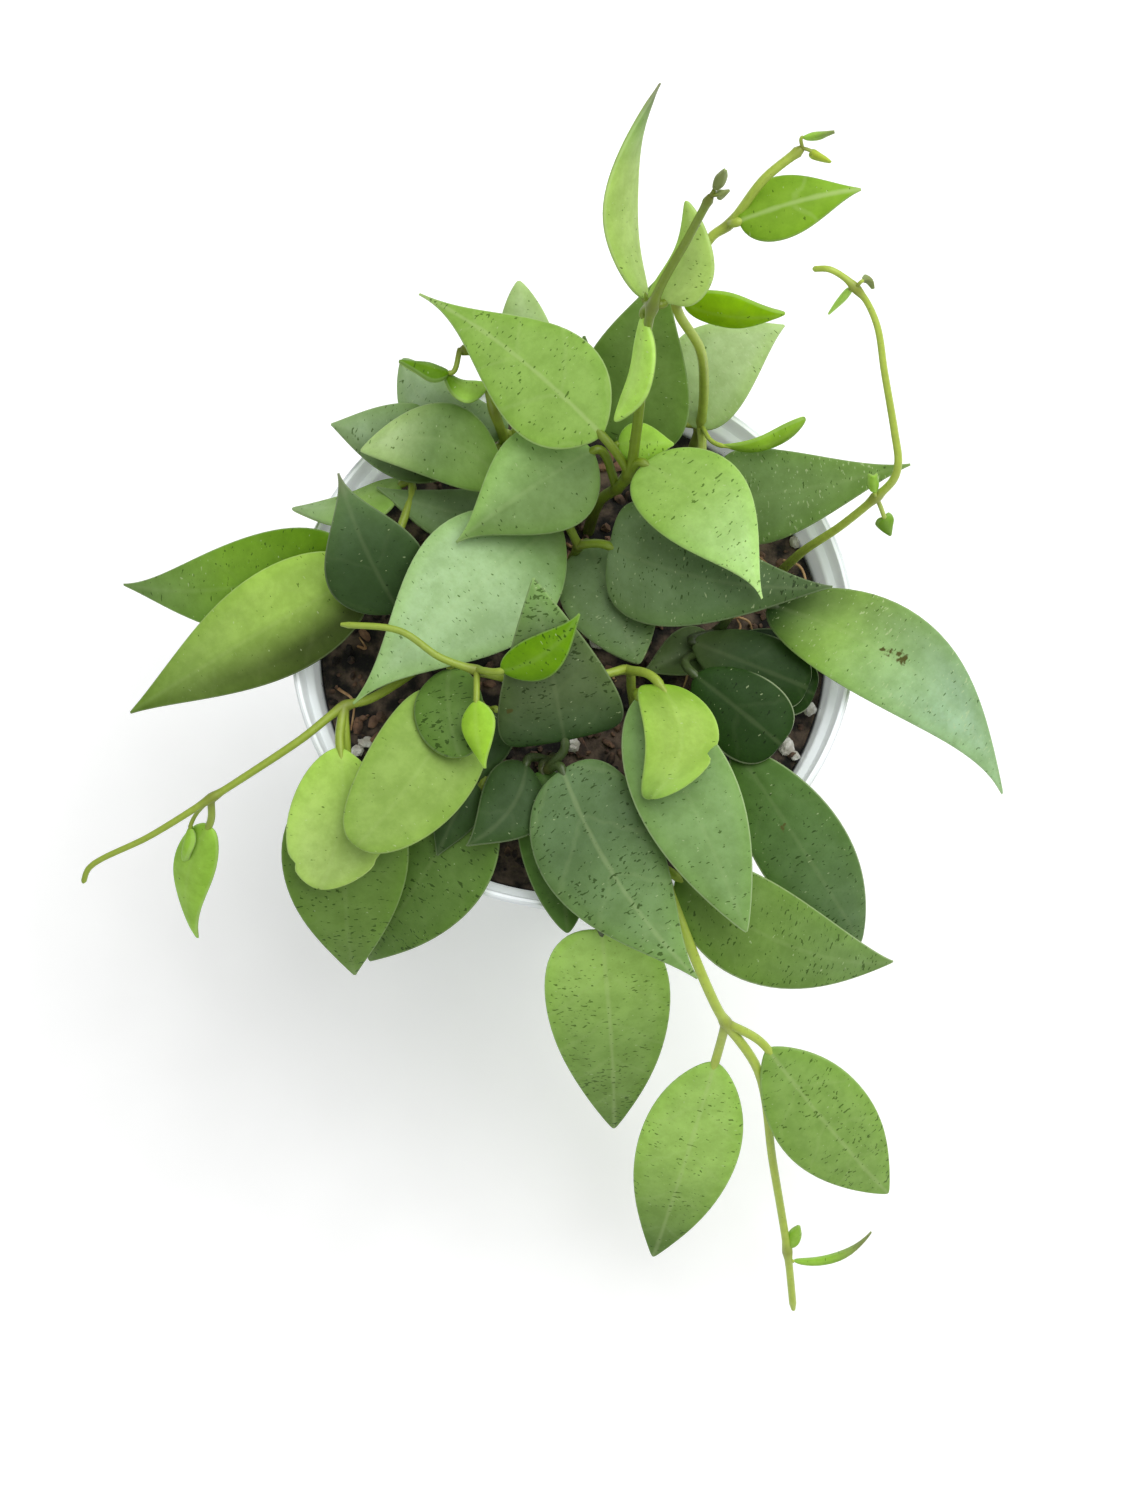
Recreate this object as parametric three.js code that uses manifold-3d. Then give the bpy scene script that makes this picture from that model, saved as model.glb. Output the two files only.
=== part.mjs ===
// Hoya lacunosa, a small climbing plant with mint green leaves, in a round nursery pot.
// Millimetres, +Z up. The origin is the centre of the pot's flat base.
// Seen from above with +Y away from the viewer, the stems lean and trail to all sides.
import * as THREE from 'three';
import { mergeVertices } from 'three/addons/utils/BufferGeometryUtils.js';
import Module from 'manifold-3d';

// Pot, a thin plastic cone with a turned-out collar that ends in a rounded lip.
const potHeight = 88;
const rimRadius = 52.5;
const baseRadius = 36;
const footBevel = 1;
const wall = 1;
const floorThickness = 1.6;
const floorFillet = 0.8;
const collarHeight = 5.5;
const collarStep = 1.6;
const collarFlare = 0.9;
const lipHeight = 1;
const lipWidth = 1.2;
const lipRound = 0.25;
const drainHoleRadius = 3.4;
const drainHoleCircle = 24;
const drainHoleCount = 6;
const drainHoleSides = 12;
const potSides = 36;

// Potting mix. Its rings are shares of the edge's radius, each with its height over the level.
const soilLevel = 78.5;
const soilGap = 0.55;
const soilSides = 26;
const soilRings = [[1, -1.5], [0.9, 0], [0.7, 1], [0.45, 1], [0.2, 1.2], [0, 1.2]];
const soilBump = 0.9;
const bumpRateX = 0.9;
const bumpRateY = 1.1;
const bumpBend = 1.3;
const bumpBendRate = 0.5;
const perliteCount = 14;
const perliteRadius = { least: 1.3, most: 2.3 };
const chipCount = 8;
const chipWidth = { least: 1.9, most: 3.6 };
const chipThickness = 1.1;
const chipStretch = 1.8;
const lumpInset = 3.5;
const crownShare = 0.85;

// Growth. The stems stand in plain holes in the mix.
const stemRadius = 1.15;
const stemTaper = 0.75;
const stemStep = 6;
const stemSides = 6;
const rootDepth = 68;
const holeClearance = 1;
const holeLength = 20;
const petioleRadius = 0.85;
const petioleShares = [0.68, 0];
const petioleStart = 0.3;
const petioleRise = 0.12;
const petioleEnd = 0.35;
const petioleEntry = 0.06;
const midribThickness = 1.15;
const marginThickness = 0.75;
const leafEnd = 0.4;
const leafRoughness = 0.5;
const bladeRows = [0.01, 0.07, 0.25, 0.5, 0.76, 0.93, 1];
const bladeColumns = [-1, -0.42, 0.42, 1];
const smallLeafWidth = 7.5;
const smallBladeRows = [0.03, 0.18, 0.5, 0.84, 1];
const smallBladeColumns = [-1, 0, 1];

const weldDistance = 1e-4;

const wasm = await Module();
wasm.setup();

// Repeatable random numbers from 0 to 1.
function seeded(seed) {
  let state = seed;
  return () => {
    state = (state * 16807) % 2147483647;
    return state / 2147483647;
  };
}

function solidOf(geometry) {
  const bare = geometry.clone();
  bare.deleteAttribute('normal');
  bare.deleteAttribute('uv');
  const merged = mergeVertices(bare, weldDistance);
  return new wasm.Manifold(new wasm.Mesh({
    numProp: 3,
    vertProperties: new Float32Array(merged.attributes.position.array),
    triVerts: new Uint32Array(merged.index.array),
  }));
}

function geometryOf(solid) {
  const mesh = solid.getMesh();
  const geometry = new THREE.BufferGeometry();
  geometry.setAttribute('position', new THREE.BufferAttribute(mesh.vertProperties, 3));
  geometry.setIndex(new THREE.BufferAttribute(mesh.triVerts, 1));
  return geometry;
}

function joined(geometries) {
  const solids = geometries.map(solidOf);
  return solids.reduce((whole, next) => whole.add(next));
}

// A round stalk along a curve, its radius running from the first to the last value.
function stalk(curve, steps, sides, firstRadius, lastRadius) {
  const frames = curve.computeFrenetFrames(steps);
  const positions = [];
  for (let step = 0; step <= steps; step++) {
    const centre = curve.getPointAt(step / steps);
    const radius = THREE.MathUtils.lerp(firstRadius, lastRadius, step / steps);
    for (let side = 0; side < sides; side++) {
      const angle = (2 * Math.PI * side) / sides;
      const point = centre.clone();
      point.addScaledVector(frames.normals[step], radius * Math.cos(angle));
      point.addScaledVector(frames.binormals[step], radius * Math.sin(angle));
      positions.push(point.x, point.y, point.z);
    }
  }
  const start = curve.getPointAt(0);
  const end = curve.getPointAt(1);
  positions.push(start.x, start.y, start.z, end.x, end.y, end.z);
  const startIndex = (steps + 1) * sides;
  const index = [];
  for (let side = 0; side < sides; side++) {
    const next = (side + 1) % sides;
    for (let step = 0; step < steps; step++) {
      const near = step * sides;
      const far = near + sides;
      index.push(near + side, near + next, far + side);
      index.push(near + next, far + next, far + side);
    }
    index.push(startIndex, next, side);
    index.push(startIndex + 1, steps * sides + side, steps * sides + next);
  }
  const geometry = new THREE.BufferGeometry();
  geometry.setAttribute('position', new THREE.Float32BufferAttribute(positions, 3));
  geometry.setIndex(index);
  return geometry;
}

// Where a leaf looks when it isn't rolled: up, and a little towards the viewer.
const leafOutlook = new THREE.Vector3(0, -0.24, 0.97);

// The blade's own directions: along from base to tip, out of its face, and to its right.
function bladeFrame(leaf) {
  const base = new THREE.Vector3(...leaf.base);
  const along = new THREE.Vector3(...leaf.tip).sub(base);
  const length = along.length();
  along.normalize();
  const out = leafOutlook.clone().addScaledVector(along, -leafOutlook.dot(along)).normalize();
  const right = new THREE.Vector3().crossVectors(along, out);
  return { base, along, out, right, length };
}

// The midrib at a share of the way from base to tip: it arches out and bows to the right.
function midribPoint(leaf, frame, share) {
  const bulge = 4 * share * (1 - share);
  const point = frame.base.clone().addScaledVector(frame.along, frame.length * share);
  point.addScaledVector(frame.out, leaf.arch * bulge);
  point.addScaledVector(frame.right, leaf.bow * bulge);
  return point;
}

// Half the width of the blade at a share of its length: round at the base, drawn out at the tip.
function halfWidth(leaf, share) {
  const peak = leaf.shoulder / (leaf.shoulder + leaf.taper);
  const outline = (at) => at ** leaf.shoulder * (1 - at) ** leaf.taper;
  const drawnOut = 1 - leaf.point * share ** 3;
  return leafEnd + (leaf.width / 2 - leafEnd) * drawnOut * (outline(share) / outline(peak));
}

// The blade's facing and rightward directions at a share of its length, rolled and twisted.
function bladeTurn(leaf, frame, share) {
  const turn = THREE.MathUtils.degToRad(leaf.roll + leaf.twist * (share - 0.5));
  const out = frame.out.clone().multiplyScalar(Math.cos(turn));
  out.addScaledVector(frame.right, Math.sin(turn));
  const right = frame.right.clone().multiplyScalar(Math.cos(turn));
  right.addScaledVector(frame.out, -Math.sin(turn));
  return { out, right };
}

// A section across the blade: its upper face from left to right, then its underside back.
function bladeSection(leaf, frame, share, columns) {
  const centre = midribPoint(leaf, frame, share);
  const { out, right } = bladeTurn(leaf, frame, share);
  const reach = halfWidth(leaf, share);
  const faces = [1, -1].map((face) => columns.map((across) => {
    const lift = leaf.cup * across * across * (2 * reach / leaf.width);
    const thickness = THREE.MathUtils.lerp(midribThickness, marginThickness, Math.abs(across));
    const point = centre.clone().addScaledVector(right, reach * across);
    return point.addScaledVector(out, lift + (face * thickness) / 2);
  }));
  return [...faces[0], ...faces[1].reverse()];
}

// Round sections of the leaf stalk, from its node on the stem to just before the blade.
// They are carried back from the blade's base, so the stalk runs into it without a twist.
function petioleSections(leaf, frame, node, count) {
  const distance = node.distanceTo(frame.base);
  const entry = midribPoint(leaf, frame, petioleEntry).sub(frame.base).normalize();
  const rise = new THREE.Vector3(0, 0, petioleRise * distance);
  const curve = new THREE.CubicBezierCurve3(
    node,
    node.clone().lerp(frame.base, petioleStart).add(rise),
    frame.base.clone().addScaledVector(entry, -petioleEnd * distance),
    frame.base.clone(),
  );
  const radius = Math.min(petioleRadius, 0.25 + 0.05 * leaf.width);
  const { out, right } = bladeTurn(leaf, frame, 0);
  let tangent = entry;
  const sections = [];
  for (const share of petioleShares) {
    const next = curve.getTangent(share);
    const carry = new THREE.Quaternion().setFromUnitVectors(tangent, next);
    out.applyQuaternion(carry);
    right.applyQuaternion(carry);
    tangent = next;
    const centre = curve.getPoint(share);
    const section = [];
    for (let side = 0; side < 2 * count; side++) {
      const angle = Math.PI - (Math.PI * (side + 0.5)) / count;
      const point = centre.clone().addScaledVector(right, radius * Math.cos(angle));
      section.push(point.addScaledVector(out, radius * Math.sin(angle)));
    }
    sections.unshift(section);
  }
  return sections;
}

// A closed solid through a row of sections that have the same number of points.
// The upper face and the underside are split into triangles the same way.
function loft(sections) {
  const around = sections[0].length;
  const index = [];
  for (let row = 0; row + 1 < sections.length; row++) {
    for (let side = 0; side < around; side++) {
      const a = row * around + side;
      const b = row * around + ((side + 1) % around);
      const c = b + around;
      const d = a + around;
      if (side < around / 2) {
        index.push(a, b, c, a, c, d);
      } else {
        index.push(a, b, d, b, c, d);
      }
    }
  }
  const last = (sections.length - 1) * around;
  for (let side = 0; side + 1 < around / 2; side++) {
    const mirrored = around - 1 - side;
    index.push(side, mirrored, mirrored - 1, side, mirrored - 1, side + 1);
    index.push(last + side, last + mirrored - 1, last + mirrored);
    index.push(last + side, last + side + 1, last + mirrored - 1);
  }
  const geometry = new THREE.BufferGeometry();
  const positions = sections.flat().flatMap((point) => point.toArray());
  geometry.setAttribute('position', new THREE.Float32BufferAttribute(positions, 3));
  geometry.setIndex(index);
  return geometry;
}

// A whole leaf: its stalk, then its blade.
function leafGeometry(leaf, node) {
  const frame = bladeFrame(leaf);
  const isSmall = leaf.width < smallLeafWidth;
  const rows = isSmall ? smallBladeRows : bladeRows;
  const columns = isSmall ? smallBladeColumns : bladeColumns;
  return loft([
    ...petioleSections(leaf, frame, node, columns.length),
    ...rows.map((share) => bladeSection(leaf, frame, share, columns)),
  ]);
}

const plainLeaf = {
  stem: 0, arch: 1.5, bow: 0, roll: 0, twist: 0, cup: -1, shoulder: 0.55, taper: 1, point: 0.4,
};

// Each vine: its stems as points from the root upwards, and its leaves.
// A leaf grows from a numbered point (node) of a stem, and is given by the two ends of its blade.
// Slender stems give their own thickness, as a share of the usual one, and their own taper.
const vines = {
  centre_vine: {
    thickness: 1,
    taper: 0.6,
    colour: 0x8fb878,
    stems: [
      [[3, 22, 68], [3, 22, 80], [5, 23.5, 93], [8, 22.5, 103], [10, 22, 112], [11, 26, 122],
        [11.5, 29, 130], [13, 37.5, 150], [18.5, 43.5, 164], [21.5, 46.5, 172]],
    ],
    leaves: [
      { node: 4, base: [5, 26.5, 119], tip: [-28, 56.5, 112], width: 20.5, arch: 3, bow: 1.5,
        shoulder: 0.75, taper: 1.9 },
      { node: 4, base: [12.5, 22, 117], tip: [33.5, -0.5, 109], width: 18.5, arch: 3, bow: -3,
        shoulder: 0.45, taper: 0.8, point: 1 },
      { node: 3, base: [3.5, 27, 110], tip: [-21, 10.5, 107.5], width: 20.5, bow: 0.5,
        shoulder: 0.65, taper: 1.2, point: 0.7 },
      { node: 3, base: [11.5, 29, 104], tip: [17, 56.5, 124], width: 20.5, bow: -2.5,
        shoulder: 0.45, point: 0.6 },
      { node: 4, base: [8, 27.5, 112], tip: [18, 27.5, 112], width: 8 },
      { node: 7, base: [11.5, 37.5, 146], tip: [7, 22.5, 136], width: 9, bow: -1.5, roll: 60,
        shoulder: 0.8, taper: 0.7 },
      { node: 7, base: [15, 38, 150], tip: [18.5, 53, 157], width: 10.5, bow: 2.5, roll: -35,
        shoulder: 0.15, taper: 0.8, point: 0 },
      { node: 7, base: [12, 40.5, 146], tip: [14, 69.5, 166], width: 14, bow: -4.5, roll: 66,
        shoulder: 0.55, taper: 0.55, point: 1.1 },
      { node: 9, base: [22, 47, 173], tip: [23.5, 48.5, 177], width: 2, arch: 0 },
      { node: 9, base: [22.5, 46.5, 172.5], tip: [24.5, 47.5, 172], width: 1.6, arch: 0 },
    ],
  },
  back_vine: {
    thickness: 0.9,
    taper: 0.75,
    colour: 0x8cc152,
    stems: [
      [[22.5, 37, 68], [22.5, 37, 80], [24, 39.5, 90], [24, 42.5, 104], [22.5, 44, 117],
        [18.5, 46.5, 126], [18, 47.5, 129], [23.5, 54.5, 140], [26.5, 56, 142], [32, 60.5, 150],
        [38, 64, 154]],
    ],
    leaves: [
      { node: 6, base: [19, 46.5, 131], tip: [36.5, 43.5, 133], width: 8.5, bow: 1.5, roll: 55,
        shoulder: 0.6, point: 0.3 },
      { node: 2, base: [20.5, 40.5, 91], tip: [39.5, 56, 99], width: 17.5, arch: 2.5, bow: -3,
        taper: 1.05, point: 0.2 },
      { node: 8, base: [28, 55.5, 144], tip: [48.5, 60, 147], width: 11, arch: 1, bow: -0.5,
        shoulder: 0.55, point: 0.6 },
      { node: 10, base: [38, 65, 156], tip: [43, 65, 158], width: 1.4, arch: 0 },
      { node: 10, base: [39.5, 63.5, 154], tip: [43, 62.5, 152], width: 1.6, arch: 0 },
      { node: 2, base: [27.5, 23.5, 94], tip: [61.5, 27, 103], width: 18, bow: 1, shoulder: 0.25,
        taper: 1.25, point: 0.3 },
      { node: 2, base: [27.5, 32.5, 98], tip: [42.5, 35.5, 104], width: 4, bow: 2.5, roll: 43,
        shoulder: 1.2, taper: 0.6 },
    ],
  },
  right_vine: {
    thickness: 0.85,
    taper: 0.55,
    colour: 0x9ab83c,
    stems: [
      [[38, 12, 68], [38, 12, 80], [42, 13, 94], [48, 13.5, 108], [53, 15, 119], [55.5, 16.5, 124],
        [56, 18.5, 127], [55, 22.5, 131], [52.5, 30.5, 139], [51, 36.5, 143.5], [49, 40, 146],
        [47, 41.5, 148], [45, 43, 149], [42.5, 44, 150], [40, 45, 148]],
    ],
    leaves: [
      { node: 11, base: [46, 41.5, 147.5], tip: [43, 39.5, 142], width: 1.4, arch: 0 },
      { node: 11, base: [48, 42, 150], tip: [50, 41.5, 148], width: 1.5, arch: 0, bow: -0.8 },
      { node: 4, base: [52.5, 15, 121.5], tip: [52, 17, 124.5], width: 2, arch: 0, shoulder: 0.2,
        taper: 0.2, point: 0 },
      { node: 4, base: [55, 13, 114], tip: [56.5, 11, 110], width: 3.5, arch: 0 },
    ],
  },
  curl_vine: {
    thickness: 0.85,
    taper: 0.6,
    colour: 0x9ccc3c,
    stems: [
      [[11.5, -14, 68], [11.5, -14, 80], [10.5, -14, 97], [9.5, -12.5, 105], [5.5, -14, 107.5],
        [-4, -15, 107.5], [-12, -15, 108.5], [-17, -14, 110], [-23.5, -12, 111.5],
        [-30.5, -7.5, 112.5], [-41, -6, 111.5]],
    ],
    leaves: [
      { node: 3, base: [15, -17, 112], tip: [13.5, -37, 109], width: 13, bow: -4.5,
        roll: 180, shoulder: 0.3, taper: 0.5, point: 0 },
      { node: 7, base: [-12.5, -15.5, 115], tip: [1, -7, 121], width: 8, arch: 1, bow: 2,
        shoulder: 0.65, point: 0.6 },
      { node: 7, base: [-17, -20, 112], tip: [-15.5, -31.5, 109], width: 6.5, bow: 0.5, roll: 20,
        shoulder: 0.8, taper: 1.3, point: 0.5 },
    ],
  },
  left_vine: {
    thickness: 0.9,
    taper: 0.5,
    colour: 0x9cc95f,
    stems: [
      [[-23, 0.5, 68], [-23, 0.5, 80], [-27, -7.5, 92], [-36.5, -16.5, 100], [-41, -18.5, 102],
        [-48.5, -24.5, 102], [-59.5, -31.5, 100], [-64.5, -34.5, 99], [-75.5, -41, 97],
        [-86.5, -46, 94], [-88, -48.5, 92]],
    ],
    leaves: [
      { node: 4, base: [-41.5, -26, 102], tip: [-45, -50.5, 96], width: 18.5, bow: -2, roll: 180,
        shoulder: 0.7, taper: 0.6, point: 0 },
      { node: 4, base: [-40.5, -31, 98], tip: [-40.5, -62, 72], width: 23, arch: 6.5, bow: 0.5,
        cup: -0.5, shoulder: 0.5, taper: 1.1, point: 0.2 },
      { node: 7, base: [-65.5, -38.5, 94], tip: [-70, -55, 72], width: 9, bow: 2.5, roll: 28,
        taper: 1.1 },
      { node: 7, base: [-69, -38.5, 93], tip: [-71, -43.5, 86], width: 3, roll: 60 },
    ],
  },
  trailing_vine: {
    thickness: 0.9,
    taper: 0.75,
    colour: 0x8db567,
    stems: [
      [[15, -34, 68], [15, -34, 80], [16, -45.5, 91], [21, -59.5, 89], [26, -69, 80],
        [28, -71.5, 76], [34.5, -79, 66], [38.5, -94, 46], [42.5, -110, 28], [44.5, -121, 16]],
    ],
    leaves: [
      { node: 2, base: [18.5, -47.5, 92.5], tip: [59.5, -59.5, 72], width: 18.5, arch: 5, bow: 4,
        taper: 1.1, point: 0.1 },
      { node: 5, base: [26.5, -77.5, 66], tip: [16, -111, 26], width: 19.5, arch: 2.5,
        shoulder: 0.7, point: 0.1 },
      { node: 5, base: [36, -75.5, 70], tip: [61.5, -99.5, 38], width: 19, arch: 2.5, bow: 0.5,
        shoulder: 0.8, point: 0 },
      { node: 8, base: [43, -109.5, 29], tip: [44.5, -105.5, 33], width: 3, arch: 0 },
      { node: 8, base: [44, -112, 26], tip: [59, -106.5, 30], width: 2, arch: 0, bow: 2.4 },
    ],
  },
  front_right_spray: {
    colour: 0x6f9a66,
    stems: [
      [[18.5, -19, 68], [18.5, -19, 80], [17.5, -19.5, 92], [16, -20, 100]],
    ],
    leaves: [
      { node: 3, base: [11.5, -18, 107], tip: [30.5, -58.5, 98], width: 18.5, arch: 2.5, bow: -0.5,
        shoulder: 0.65, taper: 0.9, point: 0.2 },
      { node: 2, base: [29, -23.5, 93.5], tip: [53.5, -56, 72], width: 17, arch: 7, shoulder: 0.8,
        taper: 0.9, point: 0 },
    ],
  },
  left_spray: {
    colour: 0x7fae45,
    stems: [
      [[-25, 8.5, 68], [-25, 8.5, 80], [-30, 7, 90], [-34.5, 8, 95]],
    ],
    leaves: [
      { node: 3, base: [-41, 12.5, 94], tip: [-85.5, 12, 78], width: 19, arch: 4, bow: -3.5,
        shoulder: 0.6, taper: 1.1, point: 0.6 },
      { node: 3, base: [-38, 8.5, 96.5], tip: [-83, -13.5, 79], width: 20, arch: 4, roll: 180, cup: 1,
        shoulder: 0.5, taper: 1, point: 0.5 },
      { node: 2, base: [-31.5, 0.5, 98], tip: [-42, 22, 112], width: 19, bow: -1, shoulder: 0.6,
        taper: 1.1, point: 0.9 },
      { node: 3, base: [-32, 27, 92.5], tip: [-52.5, 23, 90], width: 11, bow: -2, roll: 45,
        point: 0.3 },
      { node: 3, base: [-18, 21, 91.5], tip: [-36.5, 26, 93.5], width: 12, bow: -1, roll: 23,
        shoulder: 0.2, taper: 1.3, point: 0 },
      { node: 3, base: [-41, 14.5, 94], tip: [-44.5, 18, 93], width: 5, arch: 0 },
    ],
  },
  back_spray: {
    colour: 0x86ae78,
    stems: [
      [[-12.5, 34.5, 68], [-12.5, 34.5, 80], [-12.5, 34, 95], [-14.5, 37, 104],
        [-17.5, 46.5, 108], [-20.5, 46.5, 110]],
    ],
    leaves: [
      { node: 2, base: [-13, 25, 101], tip: [-39, 30.5, 101], width: 14.5, bow: 4.5, shoulder: 0.6,
        taper: 0.9, point: 0 },
      { node: 2, base: [-17.5, 31.5, 97], tip: [-45, 37.5, 96], width: 15, bow: -0.5,
        shoulder: 0.8, taper: 1.1, point: 0.1 },
      { node: 2, base: [-12.5, 35, 98], tip: [-32, 49.5, 98], width: 13, bow: -4.5, taper: 0.7,
        point: 0 },
      { node: 5, base: [-22.5, 42, 110], tip: [-31.5, 43.5, 112], width: 5, arch: 0.5, roll: 50 },
      { node: 3, base: [-15.5, 40.5, 107], tip: [-24, 43.5, 109], width: 6, bow: -2, roll: 40 },
      { node: 2, base: [-6.5, 42, 102], tip: [-10, 60, 110], width: 10.5, bow: -0.5, shoulder: 0.5,
        taper: 0.8, point: 0.1 },
      { node: 2, base: [2.5, 44, 101], tip: [2, 50, 108], width: 3.5, arch: 0.5 },
    ],
  },
  middle_spray: {
    colour: 0x9dc19c,
    stems: [
      [[-0.5, 13, 68], [-0.5, 13, 80], [0, 13.5, 89], [1, 13.5, 97]],
    ],
    leaves: [
      { node: 3, base: [-2.5, 16.5, 101], tip: [-39, -19, 106], width: 26.5, arch: 2, bow: 1,
        shoulder: 0.8, taper: 1.35, point: 0.7 },
      { node: 3, base: [6.5, 12, 101], tip: [46.5, 3, 105], width: 21.5, arch: 3.5, bow: 3,
        shoulder: 0.3, taper: 1.3, point: 0 },
      { node: 2, base: [3, 15, 93], tip: [12, -8.5, 95], width: 18, shoulder: 0.5, taper: 0.85,
        point: 0 },
    ],
  },
  front_left_spray: {
    colour: 0x84b04c,
    stems: [
      [[-15.5, -15.5, 68], [-15.5, -15.5, 80], [-16, -17, 92], [-17, -17.5, 99]],
    ],
    leaves: [
      { node: 3, base: [-20.5, -17, 101], tip: [-38, -44.5, 104.5], width: 19.5, arch: 2.5,
        bow: -1.5, roll: 180, cup: 1, shoulder: 0.3, taper: 0.45, point: 0 },
      { node: 2, base: [-22, -11.5, 102.5], tip: [-20, -29, 107], width: 12.5, bow: 1,
        shoulder: 0.5, taper: 0.5, point: 0 },
      { node: 2, base: [-18.5, -30.5, 96], tip: [-24.5, -43.5, 92], width: 9 },
      { node: 2, base: [-14, -17.5, 95], tip: [-17, -31, 94], width: 9 },
      { node: 2, base: [-17, -32, 94], tip: [-38, -59, 70], width: 22, arch: 6, roll: 10, cup: 0,
        shoulder: 0.5, point: 0.2 },
    ],
  },
  front_spray: {
    colour: 0x6b9568,
    stems: [
      [[-3.5, -22.5, 68], [-3.5, -22.5, 80], [-4, -25.5, 90], [-4.5, -28.5, 96]],
      [[-4, -25.5, 90], [0, -41.5, 93], [4.5, -50.5, 92.5], [4.5, -54.5, 90.5]],
    ],
    leaves: [
      { node: 3, base: [-2, -29.5, 100], tip: [22, -66, 93], width: 23, arch: 2.5, bow: 2.5,
        shoulder: 0.4, taper: 0.7, point: 0.9 },
      { node: 2, base: [-5.5, -28.5, 95], tip: [-1, -57, 88.5], width: 13.5, bow: -0.5, taper: 0.8,
        point: 0 },
      { node: 3, stem: 1, base: [5, -56.5, 89.5], tip: [8, -87.5, 44], width: 23, arch: 3, bow: -0.5,
        shoulder: 0.4, point: 0 },
      { node: 3, base: [-1.5, -25, 103], tip: [-7, -0.5, 121], width: 22.5, shoulder: 0.15,
        point: 0 },
      { node: 2, base: [-8.5, -27.5, 96], tip: [-19, -43, 98], width: 13, bow: -2.5,
        shoulder: 0.65, taper: 1.2, point: 0.1 },
    ],
  },
  right_spray: {
    colour: 0x6fa05a,
    stems: [
      [[26.5, -2, 68], [26.5, -2, 80], [27, -1, 90], [28.5, 0, 98]],
    ],
    leaves: [
      { node: 3, base: [35.5, 1.5, 99], tip: [81.5, -27, 70], width: 19, arch: 6, bow: -6.5,
        shoulder: 0.6, point: 0.7 },
      { node: 2, base: [22, -3.5, 92], tip: [43, -12, 91], width: 13, shoulder: 0.6, taper: 0.35,
        point: 0 },
      { node: 2, base: [23.5, -4, 89], tip: [44.5, -12.5, 88.5], width: 13, shoulder: 0.6,
        taper: 0.35, point: 0 },
      { node: 2, base: [29, -2, 86.5], tip: [44, -5.5, 86], width: 9, shoulder: 0.6, taper: 0.4,
        point: 0 },
      { node: 1, base: [22, -11.5, 98], tip: [37.5, -24, 96], width: 15.5, shoulder: 0.6,
        taper: 0.35, point: 0 },
      { node: 2, base: [26, -1.5, 87], tip: [13, -8.5, 89], width: 9 },
    ],
  },
};

function vineRadius(vine) {
  return stemRadius * (vine.thickness ?? 1);
}

function vineSolid(vine) {
  const pieces = [];
  const stemPoints = vine.stems.map((stem) => stem.map((point) => new THREE.Vector3(...point)));
  for (const points of stemPoints) {
    const curve = new THREE.CatmullRomCurve3(points, false, 'centripetal');
    const steps = Math.max(stemStep, Math.round(curve.getLength() / stemStep));
    const radius = vineRadius(vine);
    pieces.push(stalk(curve, steps, stemSides, radius, (vine.taper ?? stemTaper) * radius));
  }
  for (const row of vine.leaves) {
    const leaf = { ...plainLeaf, ...row };
    pieces.push(leafGeometry(leaf, stemPoints[leaf.stem][leaf.node].clone()));
  }
  return joined(pieces);
}

// The inside radius of the pot's tapering wall at a height.
function insideRadius(height) {
  const neckRadius = rimRadius - collarStep - 2 * wall;
  const neckHeight = potHeight - collarHeight;
  return THREE.MathUtils.lerp(baseRadius + footBevel - wall, neckRadius, height / neckHeight);
}

// A solid of revolution from its outline, given as radii and heights.
function turned(profile, sides) {
  const points = profile.map(([radius, height]) => new THREE.Vector2(radius, height));
  const body = new THREE.LatheGeometry(points, sides);
  body.rotateX(Math.PI / 2);
  return body;
}

function potSolid() {
  const neck = potHeight - collarHeight;
  const neckInside = insideRadius(neck);
  const floorCorner = floorThickness + floorFillet;
  let solid = solidOf(turned([
    [0, 0], [baseRadius, 0], [insideRadius(footBevel) + wall, footBevel],
    [neckInside + wall, neck], [rimRadius - collarFlare, neck + collarFlare],
    [rimRadius, potHeight - lipHeight], [rimRadius - lipRound, potHeight - lipRound],
    [rimRadius - 0.6 * lipWidth, potHeight], [rimRadius - lipWidth, potHeight - lipRound],
    [rimRadius - 2 * collarFlare, neck + 2 * collarFlare], [neckInside, neck + collarFlare],
    [insideRadius(floorCorner), floorCorner],
    [insideRadius(floorThickness) - floorFillet, floorThickness], [0, floorThickness],
  ], potSides));
  for (let hole = 0; hole < drainHoleCount; hole++) {
    const angle = (2 * Math.PI * hole) / drainHoleCount;
    const drill = new THREE.CylinderGeometry(
      drainHoleRadius, drainHoleRadius, 4 * floorThickness, drainHoleSides);
    drill.rotateX(Math.PI / 2);
    drill.translate(drainHoleCircle * Math.cos(angle), drainHoleCircle * Math.sin(angle), 0);
    solid = solid.subtract(solidOf(drill));
  }
  return solid;
}

// How far the crumbly surface of the mix rises or sinks at a place.
function bumpAt(x, y) {
  const bend = bumpBend * Math.sin(bumpBendRate * y);
  return soilBump * Math.sin(bumpRateX * x + bend) * Math.cos(bumpRateY * y - bumpBendRate * x);
}

// A grain of perlite, or a flat chip of bark, half sunk in the mix.
function lumpSolid(isPerlite, edge, random) {
  const span = isPerlite ? perliteRadius : chipWidth;
  const size = THREE.MathUtils.lerp(span.least, span.most, random());
  const lump = isPerlite ? new THREE.OctahedronGeometry(size, 0)
    : new THREE.BoxGeometry(chipStretch * size, size, chipThickness);
  lump.rotateX(random());
  lump.rotateZ(2 * Math.PI * random());
  const angle = 2 * Math.PI * random();
  const distance = (edge - lumpInset) * Math.sqrt(random());
  const crown = distance > crownShare * edge ? 0 : 1;
  lump.translate(distance * Math.cos(angle), distance * Math.sin(angle), soilLevel + crown);
  return solidOf(lump);
}

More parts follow.
